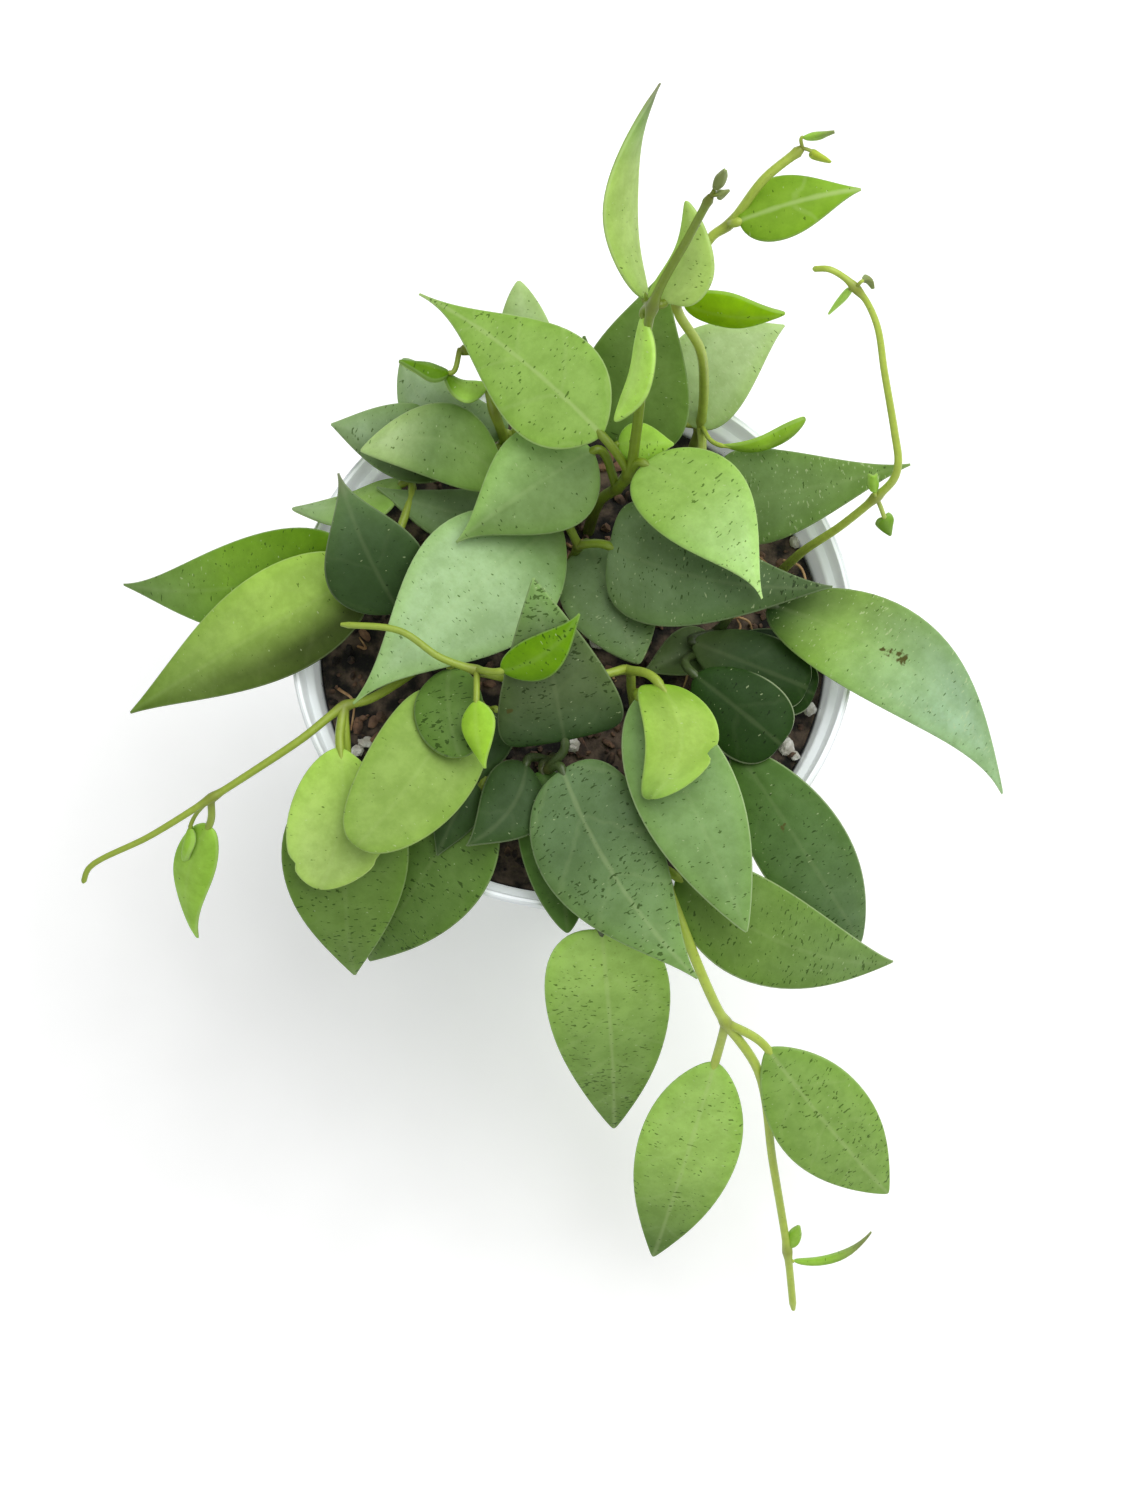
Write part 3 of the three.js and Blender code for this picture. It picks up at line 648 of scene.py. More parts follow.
peat = mineral("peat", colour(22, 20, 18), colour(106, 90, 76), 260.0, 0.95, 0.5)
crumb_brown = mineral("crumb_brown", colour(30, 24, 21), colour(130, 100, 80), 160.0, 0.9, 0.4)
bark_brown = mineral("bark_brown", colour(52, 39, 32), colour(142, 106, 82), 220.0, 0.85, 0.4)
perlite_white = mineral("perlite_white", colour(190, 184, 172), colour(240, 238, 232), 400.0,
                        0.85, 0.3)
fibre_tan = mineral("fibre_tan", colour(150, 112, 76), colour(206, 170, 124), 300.0, 0.8, 0.1)
for grain in (crumb, pearl):
    bpy.data.objects.remove(grain)
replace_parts(settle(soil, "soil", peat), "potting_mix")
settle(joined(crumbs), "soil_crumbs", crumb_brown)
settle(joined(bark), "bark_chips", bark_brown)
settle(joined(pearls), "perlite", perlite_white)
settle(root_hairs, "root_hairs", fibre_tan)

# %% [markdown]
# ## How a leaf is made
#
# A hoya leaf is a thick oval blade with a pointed tip, on a short round stalk. Every blade has
# the same build and differs in length, width, curve and turn. So one flat pattern blade is
# modelled, a grid with a thickness whose rows and columns are closer at its edges. Each leaf
# bends its own copy along its midrib, the same way as the CAD model does.

# %% Pattern blade
BLADE_COLUMNS = 22
BLADE_ROWS = 38


def pattern_blade(name, columns, rows):
    """A flat closed blade: x from -1 to 1 across, y from 0 to 1 along, z from -1 to 0."""
    start_clean()
    bpy.ops.mesh.primitive_grid_add(
        x_subdivisions=columns, y_subdivisions=rows, size=2, calc_uvs=False)
    blade = bpy.context.object
    blade.name = name
    bpy.ops.object.mode_set(mode="EDIT")
    bpy.ops.mesh.select_all(action="SELECT")
    bpy.ops.transform.translate(value=(0, 1, 0))
    bpy.ops.transform.resize(value=(1, 0.5, 1), center_override=(0, 0, 0))
    bpy.ops.mesh.extrude_region_move(TRANSFORM_OT_translate={"value": (0, 0, -1)})
    bpy.ops.mesh.select_all(action="SELECT")
    bpy.ops.mesh.normals_make_consistent(inside=False)
    bpy.ops.object.mode_set(mode="OBJECT")
    bpy.ops.object.shade_smooth()
    return blade


large_blade = pattern_blade("large_blade", BLADE_COLUMNS, BLADE_ROWS)
small_blade = pattern_blade("small_blade", 12, 18)
print("pattern blade", len(large_blade.data.polygons), "faces")

# %% [markdown]
# `leaf` holds what makes one leaf its own. It grows from a numbered point, or node, of its stem
# and is given by the two ends of its blade and its width. `arch` and `bow` bend the midrib out
# and to the right, `roll` turns the blade about it, `cup` lifts the margins, or lowers them if
# it is negative, and `wave` ripples them. `shoulder` and `taper` set how round the base and how
# slim the end is, and `point` draws out the tip. A few leaves are torn or folded: `notches` are
# bites in a margin and `fold` turns one side down. The other words are about colour, and come
# into use with the palette.

# %% Leaf form
LEAF_OUTLOOK = np.array((0, -0.24, 0.97))
MIDRIB_THICKNESS = 1.15
MARGIN_THICKNESS = 0.8
LEAF_END = 0.22
SMALL_LEAF_WIDTH = 7.5


def leaf(node, base, tip, width, **form):
    plain = dict(stem=0, arch=1.5, bow=0, roll=0, cup=-1, wave=0.25, shoulder=0.55, taper=1,
                 point=0.4, notches=(), fold=(1, 1, 0), tone="light", under="pale_under",
                 dusk=(1, 0), blush=0, rib=0.1, edging=0.25, edge_from=0, flecks=0.3, silver=0,
                 scars=())
    return {**plain, "node": node, "base": np.array(base, float), "tip": np.array(tip, float),
            "width": width, **form}


def blade_frame(one):
    """Along from base to tip, out of the upper face, and right, with the length."""
    along = one["tip"] - one["base"]
    length = np.linalg.norm(along)
    along = along / length
    out = LEAF_OUTLOOK - LEAF_OUTLOOK.dot(along) * along
    out = out / np.linalg.norm(out)
    return along, out, np.cross(along, out), length


def midrib(one, share):
    along, out, right, length = blade_frame(one)
    share = np.asarray(share, float)[..., None]
    bulge = 4 * share * (1 - share)
    return one["base"] + along * length * share + (out * one["arch"] + right * one["bow"]) * bulge


def half_width(one, share):
    """Round at the base and drawn out at the tip."""
    shoulder, taper = one["shoulder"], one["taper"]
    peak = shoulder / (shoulder + taper)
    swell = (share / peak) ** shoulder * ((1 - share) / (1 - peak)) ** taper
    drawn_out = 1 - one["point"] * share**3
    return LEAF_END + (one["width"] / 2 - LEAF_END) * swell * drawn_out


def blade_turn(one):
    """The facing and rightward directions of the blade, rolled about its midrib."""
    along, out, right, length = blade_frame(one)
    turn = math.radians(one["roll"])
    return (out * math.cos(turn) + right * math.sin(turn),
            right * math.cos(turn) - out * math.sin(turn))


print("width half way along a plain leaf of width 20:",
      round(2 * half_width(leaf(0, (0, 0, 0), (0, 40, 0), 20), 0.5), 1))

# %% [markdown]
# ## Leaf colours
#
# The young leaves are yellow green and the old ones dark, with a grey bloom. Their undersides
# are paler. The darkest tones, dark, night and shade, and the tone of the shade stems are partly
# painted shade, for leaves and stems that lie low under others. A leaf's `tone` and the tone
# `under` it come from this palette. Either is one name, or a run of names along the blade, since
# many leaves change from their base to their tip; a run that starts dark at the base paints the
# shade that falls there.

# %% Palette
TONES = {
    "lime": (138, 184, 6), "deep_lime": (102, 146, 12), "lemon": (174, 190, 58),
    "spring": (158, 202, 62), "young": (154, 198, 74), "glow": (184, 228, 104),
    "bright": (166, 206, 102), "apple": (130, 170, 46), "pale": (169, 198, 107),
    "pale_mint": (174, 200, 136), "mint": (160, 192, 135), "cool_mint": (164, 199, 152),
    "frosted": (190, 230, 148), "frost": (146, 172, 126), "light": (146, 184, 86), "soft": (134, 170, 82),
    "sage": (126, 160, 95), "moss": (115, 145, 82), "grey": (100, 128, 82), "dull": (112, 138, 90),
    "green": (106, 138, 62), "fresh": (90, 130, 4), "grassy": (116, 156, 48), "leafy": (94, 126, 56),
    "steel": (90, 117, 72), "slate": (72, 94, 56), "pewter": (88, 107, 66), "deep": (76, 110, 46),
    # The next three tones are partly painted shade, for leaves that lie low under others.
    "shade": (56, 80, 42), "dark": (38, 65, 22), "night": (27, 48, 20),
    "bright_under": (162, 197, 88), "pale_under": (141, 172, 82), "olive_under": (104, 134, 50),
    "stem": (150, 172, 58), "young_stem": (180, 202, 80), "old_stem": (120, 144, 34),
    # shade_stem is partly painted shade, for stems low under the leaves.
    "shade_stem": (66, 84, 40), "node": (92, 84, 32),
    "purple": (122, 96, 108), "dried": (128, 138, 84),
}
tones = {name: np.array(colour(*value)[:3]) for name, value in TONES.items()}


def tone_along(stops, share):
    """One tone, or a run of tones, each given with the share of the length where it is pure."""
    if isinstance(stops, str):
        stops = [(0, stops)]
    shares = [stop[0] for stop in stops]
    table = np.array([tones[stop[1]] for stop in stops])
    return np.stack([np.interp(share, shares, table[:, part]) for part in range(3)], 1)


print("tones", len(tones))

# %% [markdown]
# Every point of a blade carries what the skin needs to know about it. `dusk` darkens one side,
# most at the base, where another leaf shades it, and `blush` turns the tip purple. `flecks` and
# `silver` say how many marks there are, `rib` how clearly the midrib shows, `edging` how pale
# the margin is and `edge_from` where along it that starts. `scars` are brown spots. Each leaf's
# number moves its place in the noise, so no two leaves have the same marks.

# %% Painting a blade
SEED_STEP = 17.0
DUSK_REACH = 1.3
BLUSH_START = 0.82
BLUSH_STRENGTH = 0.7


def points_of(mesh):
    """The points of a mesh, as rows of x, y and z."""
    points = np.empty(3 * len(mesh.vertices))
    mesh.vertices.foreach_get("co", points)
    return points.reshape(-1, 3)


def give(mesh, name, values):
    """Stores three numbers, or a colour with its alpha, for each point of a mesh."""
    kind, field = ("FLOAT_COLOR", "color") if values.shape[1] == 4 else ("FLOAT_VECTOR", "vector")
    mesh.attributes.new(name, kind, "POINT").data.foreach_set(field, values.ravel())


def paint_blade(mesh, one, seed, across, share, reach, upper):
    """Gives a blade's points their place on it, their tone and their marks."""
    count = len(share)
    length = blade_frame(one)[3]
    tone = np.where(upper[:, None], tone_along(one["tone"], share), tone_along(one["under"], share))
    side, depth = one["dusk"]
    dusk = depth * np.clip(DUSK_REACH * side * across + 0.2, 0, 1)
    tone = tone * (1 - dusk * np.clip(DUSK_REACH - share, 0, 1))[:, None]
    blush = one["blush"] * np.clip((share - BLUSH_START) / (1 - BLUSH_START), 0, 1)[:, None]
    tone = tone * (1 - BLUSH_STRENGTH * blush) + tones["purple"] * BLUSH_STRENGTH * blush
    scar = np.zeros(count)
    for at_across, at_share, radius in one["scars"]:
        off = np.hypot((across - at_across) * reach, (share - at_share) * length)
        scar = np.maximum(scar, np.clip(1 - off / radius, 0, 1))
    flecks = one["flecks"] * (0.6 + 0.5 * share) * upper
    edging = one["edging"] * np.clip(5 * (share - one["edge_from"]) + 0.5, 0, 1)
    place = np.stack([across * reach, share * length, np.full(count, SEED_STEP * seed)], 1)
    give(mesh, "leaf_place", place)
    give(mesh, "leaf_edge", np.stack([(1 - np.abs(across)) * reach, edging, np.zeros(count)], 1))
    give(mesh, "leaf_tone", np.concatenate([tone, np.full((count, 1), one["rib"])], 1))
    give(mesh, "leaf_marks", np.stack([flecks, one["silver"] * upper, scar, 1.0 - upper], 1))


print("blush starts at", BLUSH_START, "of the length")

# %% [markdown]
# The blade's thickness is rounded off at the margin, and the upper face has a shallow groove
# over the midrib. Slow waves along the margins keep the leaves from looking stamped. The places
# of all points are worked out at once, as rows of numbers, and put into the copied mesh.

# %% Bending a blade
GROOVE = 0.16
GROOVE_REACH = 0.9
ROUNDING = 24
THIN_EDGE = 0.04
WAVES = 9


def rounded(to_edge):
    """1 in the middle, and falls to a thin edge where its share of the way to it nears 1."""
    return np.sqrt(np.clip(1 - np.abs(to_edge) ** ROUNDING, THIN_EDGE, 1))


def bent_blade(one, seed):
    """A copy of the pattern blade in the place and form of one leaf, with its attributes."""
    pattern = small_blade if one["width"] < SMALL_LEAF_WIDTH else large_blade
    mesh = pattern.data.copy()
    flat = points_of(mesh)
    across = np.sin(flat[:, 0] * math.pi / 2)
    share = (1 - np.cos(flat[:, 1] * math.pi)) / 2
    upper = flat[:, 2] > -0.5
    reach = half_width(one, np.clip(share, 0, 1))
    width_share = 2 * reach / one["width"]
    phase = seed * 1.7 + (across > 0) * 2.1
    ripple = one["wave"] * np.sin(share * WAVES + phase)
    lift = (one["cup"] + ripple) * across**2 * width_share
    side, crease, depth = one["fold"]
    lift = lift + depth * np.clip(side * across - crease, 0, 1)
    thick = MIDRIB_THICKNESS + (MARGIN_THICKNESS - MIDRIB_THICKNESS) * np.abs(across)
    thick = thick * rounded(across) * rounded(2 * share - 1)
    lift = lift + np.where(upper, 0.5, -0.5) * np.minimum(thick, 0.35 + 0.6 * reach)
    groove = GROOVE * np.exp(-((across * reach / GROOVE_REACH) ** 2))
    lift = lift - upper * groove * np.clip(1.15 - share, 0, 1)
    outward = reach * across
    length = blade_frame(one)[3]
    for side, at_share, half_bite, depth in one["notches"]:
        bite = depth * np.exp(-(((share - at_share) * length / half_bite) ** 2))
        outward = outward - side * bite * np.clip(side * across, 0, 1) ** 6
    out, right = blade_turn(one)
    points = midrib(one, share) + np.outer(outward, right) + np.outer(lift, out)
    mesh.vertices.foreach_set("co", (points * MM).ravel())
    paint_blade(mesh, one, seed, across, share, reach, upper)
    blade = bpy.data.objects.new("blade", mesh)
    bpy.context.scene.collection.objects.link(blade)
    return blade


print("blade thickness", MIDRIB_THICKNESS, "to", MARGIN_THICKNESS, "mm")

# %% [markdown]
# ## Stems and leaf stalks
#
# A stem is a tube along a smooth curve, a little thicker at each node and thinner towards its
# tip. A leaf stalk leaves its node, bends over and runs on as a fading rib under the blade, so
# the blade doesn't seem glued to its end. Both are drawn as one set of tubes for each vine.

# %% Stems and leaf stalks
STEM_RADIUS = 1.15
STEM_TAPER = 0.75
STALK_RADIUS = 0.85
NODE_SWELL = 0.16
NODE_REACH = 1.5
RIB_END = 0.22
RIB_DEPTH_UNDER_FACE = 0.3


def stem_tube(points, nodes, thickness, taper):
    path = smooth_path(points, 8)
    steps = np.linalg.norm(np.diff(path, axis=0), axis=1)
    share = np.concatenate([[0], np.cumsum(steps)]) / steps.sum()
    radii = STEM_RADIUS * thickness * (1 + (taper - 1) * share)
    for node in nodes:
        distance = np.linalg.norm(path - node, axis=1)
        radii = radii + NODE_SWELL * np.exp(-((distance / NODE_REACH) ** 2))
    radii[-1] = 0.55 * radii[-1]
    return path, radii


def stalk_tube(one, node):
    """A stalk that rises from its node, bends over to its blade and fades out under it."""
    base = one["base"]
    distance = np.linalg.norm(node - base)
    entry = midrib(one, 0.06) - base
    entry = entry / np.linalg.norm(entry)
    first = node + 0.3 * (base - node) + np.array((0, 0, 0.12 * distance))
    second = base - 0.35 * distance * entry
    t = np.linspace(0, 1, 12)[:, None]
    path = ((1 - t) ** 3 * node + 3 * t * (1 - t) ** 2 * first
            + 3 * t**2 * (1 - t) * second + t**3 * base)
    radius = min(STALK_RADIUS, 0.25 + 0.05 * one["width"])
    radii = radius * (1 + 0.2 * np.exp(-((t[:, 0] / 0.12) ** 2)))
    if one["width"] < 3:
        return path, radii
    out = blade_turn(one)[0]
    rib = radius * np.linspace(0.66, 0.1, 8)
    sink = np.clip(rib - RIB_DEPTH_UNDER_FACE, 0, None)
    under_blade = midrib(one, np.linspace(0.03, RIB_END, 8)) - np.outer(sink, out)
    return np.concatenate([path, under_blade]), np.concatenate([radii, rib])


print("stem", 2 * STEM_RADIUS, "mm thick")

# %% [markdown]
# A stem is brownish at its nodes and greener between them. Low between the leaves, where little
# light comes in, it is darker, which is painted on as well.

# %% Painting the stems
NODE_BROWNING = 0.6
BROWNING_REACH = 1.7
SHADY_HEIGHT = 97
SHADY_DEPTH = 12


def paint_stems(mesh, nodes, tone):
    points = points_of(mesh) / MM
    near = np.min([np.linalg.norm(points - node, axis=1) for node in nodes], axis=0)
    brown = NODE_BROWNING * np.exp(-((near / BROWNING_REACH) ** 2))[:, None]
    shade = tones[tone] * (1 - brown) + tones["node"] * brown
    inside = np.hypot(points[:, 0], points[:, 1]) < RIM_RADIUS - 4
    dark = 0.6 * inside * np.clip((SHADY_HEIGHT - points[:, 2]) / SHADY_DEPTH, 0, 1)
    shade = shade * (1 - dark)[:, None]
    give(mesh, "leaf_place", points)
    give(mesh, "leaf_tone", np.concatenate([shade, np.ones((len(points), 1))], 1))


print("nodes brown over", 2 * BROWNING_REACH, "mm")

# %% [markdown]
# ## Leaf skin
#
# The upper face of a leaf is satin and softly mottled, with a pale midrib, a thin pale margin
# and short flecks that lie mostly across the blade. Dark and silver flecks are the same effect
# with other values, so they are a node group: stretched noise that only shows where it passes
# a threshold, which a density lowers in clusters.

# %% Flecks group
FLECK_LIMIT = 0.735
FLECK_RANGE = 0.16
FLECK_SOFTNESS = 0.025

flecks, ends_in, ends_out = new_group(
    "leaf_flecks", {"Place": "NodeSocketVector", "Density": "NodeSocketFloat",
                    "Coarseness": "NodeSocketFloat"}, {"Mask": "NodeSocketFloat"})
place, density, coarseness = ends_in.outputs[:3]
stretch = put(flecks, "ShaderNodeMapping", {"Vector": place, "Rotation": (0, 0, 0.35),
                                            "Scale": (0.62, 1.25, 1.0)})
warp = put(flecks, "ShaderNodeTexNoise", {"Vector": place, "Scale": 0.35})
bent = put(flecks, "ShaderNodeVectorMath", {0: stretch.outputs[0], 1: warp.outputs["Color"]},
           operation="ADD").outputs[0]
spots = noise(flecks, bent, coarseness, 1.5)
crowd = ramp(flecks, noise(flecks, place, 0.16, 1.0), 0.3, 0.7, 0.4, 1.0)
lowered = maths(flecks, "MULTIPLY", maths(flecks, "MULTIPLY", crowd, density), FLECK_RANGE)
over = maths(flecks, "SUBTRACT", spots, maths(flecks, "SUBTRACT", FLECK_LIMIT, lowered))
flecks.links.new(ramp(flecks, over, 0.0, FLECK_SOFTNESS), ends_out.inputs["Mask"])
print("group", flecks.name)

# %% [markdown]
# The skin reads what each point of the blade carries. Its ground is the leaf's tone, mottled
# between a darker and a lighter one by a noise with fine detail, and a little yellower towards
# the margin.

# %% Leaf ground
skin, tree, shader = new_material("leaf_skin")
place = put(tree, "ShaderNodeAttribute", attribute_name="leaf_place").outputs["Vector"]
toned = put(tree, "ShaderNodeAttribute", attribute_name="leaf_tone")
tone = toned.outputs["Color"]
rib_share = toned.outputs["Alpha"]
marks = put(tree, "ShaderNodeAttribute", attribute_name="leaf_marks")
margin = put(tree, "ShaderNodeAttribute", attribute_name="leaf_edge").outputs["Vector"]
edge, edging = put(tree, "ShaderNodeSeparateXYZ", {0: margin}).outputs[:2]
density, silver, scar = put(tree, "ShaderNodeSeparateColor", {0: marks.outputs["Color"]}).outputs
under = marks.outputs["Alpha"]
across, along = put(tree, "ShaderNodeSeparateXYZ", {0: place}).outputs[:2]

mottle = noise(tree, place, 0.22, 6.0, 0.7)
darker = multiplied(tree, 0.14, tone, (0.1, 0.2, 0.05))
lighter = multiplied(tree, 1.0, tone, (1.12, 1.1, 1.2))
ground = blended(tree, ramp(tree, mottle, 0.32, 0.68), darker, lighter)
ground = multiplied(tree, ramp(tree, edge, 0.2, 4.0, 0.6, 0.0), ground, (0.92, 1.0, 0.68))
print("material", skin.name)

# %% [markdown]
# The veins leave the midrib at a slant. They are lines of equal distance along the blade, less
# a share of the distance from the midrib, and both wander a little.

# %% Midrib and veins
VEIN_SPACING = 5.5
VEIN_SLANT = 0.9
VEIN_WANDER = 3.5
VEIN_PALE = colour(214, 228, 170)

aside = maths(tree, "ABSOLUTE", across)
wander = noise(tree, place, 0.25)
rib = ramp(tree, maths(tree, "ADD", aside, maths(tree, "MULTIPLY", wander, 0.5)), 0.3, 0.9,
           1.0, 0.0)
rib = maths(tree, "MULTIPLY", rib, rib_share)
vein_line = maths(tree, "SUBTRACT", along, maths(tree, "MULTIPLY", aside, VEIN_SLANT))
vein_line = maths(tree, "ADD", vein_line, maths(tree, "MULTIPLY", wander, VEIN_WANDER))
vein_line = maths(tree, "PINGPONG", vein_line, VEIN_SPACING)
veins = maths(tree, "MULTIPLY", ramp(tree, vein_line, 0.1, 0.9, 0.3, 0.0), rib_share)
pale_lines = maths(tree, "MAXIMUM", rib, veins)
veined = blended(tree, pale_lines, ground, blended(tree, 0.4, tone, VEIN_PALE))
print("veins every", 2 * VEIN_SPACING, "mm")

# %% [markdown]
# The dark flecks come first and the silver ones on top, from the same group at another place.
# Then the pale line of the margin, and where the blade was hurt, a ragged brown scar.

# %% Flecks, margin and scars
DARK_COARSENESS = 1.55
SILVER_COARSENESS = 1.6
SILVER = colour(196, 212, 160)
MARGIN_PALE = colour(206, 220, 176)
SCAR_BROWN = colour(84, 84, 40)

dark_flecks = use_group(tree, flecks, {"Place": place, "Density": density,
                                       "Coarseness": DARK_COARSENESS}).outputs[0]
fleck_tone = multiplied(tree, 1.0, tone, (0.3, 0.36, 0.2))
flecked = blended(tree, maths(tree, "MULTIPLY", dark_flecks, 0.9), veined, fleck_tone)
shifted = put(tree, "ShaderNodeVectorMath", {0: place, 1: (31.0, 7.0, 3.0)},
              operation="ADD").outputs[0]
pale_flecks = use_group(tree, flecks, {"Place": shifted, "Density": silver,
                                       "Coarseness": SILVER_COARSENESS}).outputs[0]
silvered = blended(tree, maths(tree, "MULTIPLY", pale_flecks, 0.4), flecked, SILVER)

rim = maths(tree, "MULTIPLY", ramp(tree, edge, 0.12, 0.36, 1.0, 0.0), edging)
margined = blended(tree, rim, silvered, blended(tree, 0.5, tone, MARGIN_PALE))
ragged = noise(tree, place, 1.1, 4.0)
hurt = ramp(tree, maths(tree, "MULTIPLY", scar, ragged), 0.22, 0.3)
tree.links.new(blended(tree, hurt, margined, SCAR_BROWN), shader.inputs["Base Color"])
print("a cell of the dark flecks' noise is about", round(1 / DARK_COARSENESS, 2), "mm")

# %% [markdown]
# The leaf is satin on top and duller below. A little light passes through the blade, and the
# face is pebbled and gently uneven, with the dark flecks sunk in.

# %% Leaf gloss and relief
SATIN = (0.56, 0.44)
DULLER_BELOW = 0.16
PEBBLES = 0.12
UNEVENNESS = 0.9
FLECK_DEPTH = 0.14

roughness = ramp(tree, mottle, 0.3, 0.7, *SATIN)
roughness = maths(tree, "ADD", roughness, maths(tree, "MULTIPLY", under, DULLER_BELOW))
tree.links.new(roughness, shader.inputs["Roughness"])
shader.inputs["Specular IOR Level"].default_value = 0.12
shader.inputs["Subsurface Weight"].default_value = 0.08
shader.inputs["Subsurface Radius"].default_value = (0.6, 1.0, 0.25)
shader.inputs["Subsurface Scale"].default_value = 0.0012
relief = maths(tree, "ADD", maths(tree, "MULTIPLY", noise(tree, place, 1.5, 3.0), PEBBLES),
               maths(tree, "MULTIPLY", noise(tree, place, 0.22, 1.0), UNEVENNESS))
relief = maths(tree, "SUBTRACT", relief, maths(tree, "MULTIPLY", dark_flecks, FLECK_DEPTH))
bumped(tree, shader, relief, 0.5, 0.5)
print("leaf roughness about", SATIN, "and", DULLER_BELOW, "more below")

# %% [markdown]
# The skin of the stems is smooth and faintly mottled, with a few brown dots.

# %% Stem skin
DOT_BROWN = colour(96, 92, 36)

stem_skin, tree, shader = new_material("stem_skin")
place = put(tree, "ShaderNodeAttribute", attribute_name="leaf_place").outputs["Vector"]
tone = put(tree, "ShaderNodeAttribute", attribute_name="leaf_tone").outputs["Color"]
mottle = noise(tree, place, 0.8, 4.0)
shaded = multiplied(tree, 0.14, tone, (0.4, 0.4, 0.2))
mottled = blended(tree, ramp(tree, mottle, 0.35, 0.65), shaded, tone)
dots = ramp(tree, noise(tree, place, 2.2, 1.0), 0.72, 0.76, 0.0, 0.5)
tree.links.new(blended(tree, dots, mottled, DOT_BROWN), shader.inputs["Base Color"])
shader.inputs["Roughness"].default_value = 0.42
bumped(tree, shader, mottle, 0.3, 0.3)
print("material", stem_skin.name)

# %% [markdown]
# ## Growing a vine
#
# `grow` draws the stems and stalks of one vine, bends a blade for each of its leaves and joins
# them all into the piece that stands for the CAD node. Old stems are thicker and darker than
# young ones, so `thickness`, `taper` and `stem_tone` may differ; the shade stem tone of the low
# shoots is partly painted shade. The vines follow, from the tall ones at the back to the low
# leafy shoots. Points are in millimetres, from the root to the tip.

# %% Growing a vine
leaf_count = 0


def grow(name, stems, leaves, stem_tone="stem", thickness=1, taper=STEM_TAPER):
    global leaf_count
    stems = [[np.array(point, float) for point in stem] for stem in stems]
    nodes = [stems[one["stem"]][one["node"]] for one in leaves]
    paths = []
    for number, stem in enumerate(stems):
        own = [node for node, one in zip(nodes, leaves) if one["stem"] == number]
        paths.append(stem_tube(stem, own, thickness, taper))
    paths += [stalk_tube(one, node) for one, node in zip(leaves, nodes)]
    stalks = tubes(name + "_stalks", paths)
    paint_stems(stalks.data, nodes, stem_tone)
    stalks.data.materials.clear()
    stalks.data.materials.append(stem_skin)
    blades = []
    for one in leaves:
        leaf_count += 1
        blade = bent_blade(one, leaf_count)
        blade.data.materials.append(skin)
        blades.append(blade)
    piece = settle(joined([stalks, *blades]), name + "_grown", None)
    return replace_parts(piece, name)


print("vines to grow", len(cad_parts) - 2)

# %% [markdown]
# The tall middle stem carries the two large leaves that face the camera, and three narrow ones
# at its top, turned on edge. The tallest of them has a purple tip.

# %% Centre vine
grow("centre_vine", [
    [(3, 22, 68), (3, 22, 80), (5, 23.5, 93), (8, 22.5, 103), (10, 22, 112), (11, 26, 122),
     (11.5, 29, 130), (13, 37.5, 150), (18.5, 43.5, 164), (21.5, 46.5, 172)],
], [
    leaf(4, (5, 26.5, 119), (-28, 56.5, 112), 20.5, arch=3, bow=1.5, shoulder=0.75, taper=1.9,
         tone="light", flecks=0.7, rib=0.5, edging=0.5),
    leaf(4, (12.5, 22, 117), (33.5, -0.5, 109), 18.5, arch=3, bow=-3, shoulder=0.45, taper=0.8,
         point=1, tone=[(0.3, "light"), (0.85, "frosted")], flecks=0.6),
    leaf(3, (3.5, 27, 110), (-21, 10.5, 107.5), 20.5, bow=0.5, shoulder=0.65, taper=1.2, point=0.7,
         tone="moss", dusk=(1, -1), flecks=0.3, rib=0.15),
    leaf(3, (11.5, 29, 104), (17, 56.5, 124), 20.5, bow=-2.5, shoulder=0.45, point=0.6,
         tone="green", flecks=0.3),
    leaf(4, (8, 27.5, 112), (18, 27.5, 112), 8, tone="young", flecks=0.3),
    leaf(7, (11.5, 37.5, 146), (7, 22.5, 136), 9, bow=-1.5, roll=60, shoulder=0.8, taper=0.7,
         tone="glow", flecks=0.2),
    leaf(7, (15, 38, 150), (18.5, 53, 157), 10.5, bow=2.5, roll=-35, shoulder=0.15, taper=0.8,
         point=0, tone="pale", flecks=0.5),
    leaf(7, (12, 40.5, 146), (14, 69.5, 166), 14, bow=-4.5, roll=66, shoulder=0.55, taper=0.55,
         point=1.1, tone=[(0, "pale"), (0.6, "pale"), (0.9, "sage")], blush=1, flecks=0.2),
    leaf(9, (22, 47, 173), (23.5, 48.5, 177), 2, arch=0, tone="dried"),
    leaf(9, (22.5, 46.5, 172.5), (24.5, 47.5, 172), 1.6, arch=0, tone="dried"),
], stem_tone="old_stem", taper=0.6)

# %% [markdown]
# Behind it a stem leans to the upper right, with the brightest leaves of the plant.

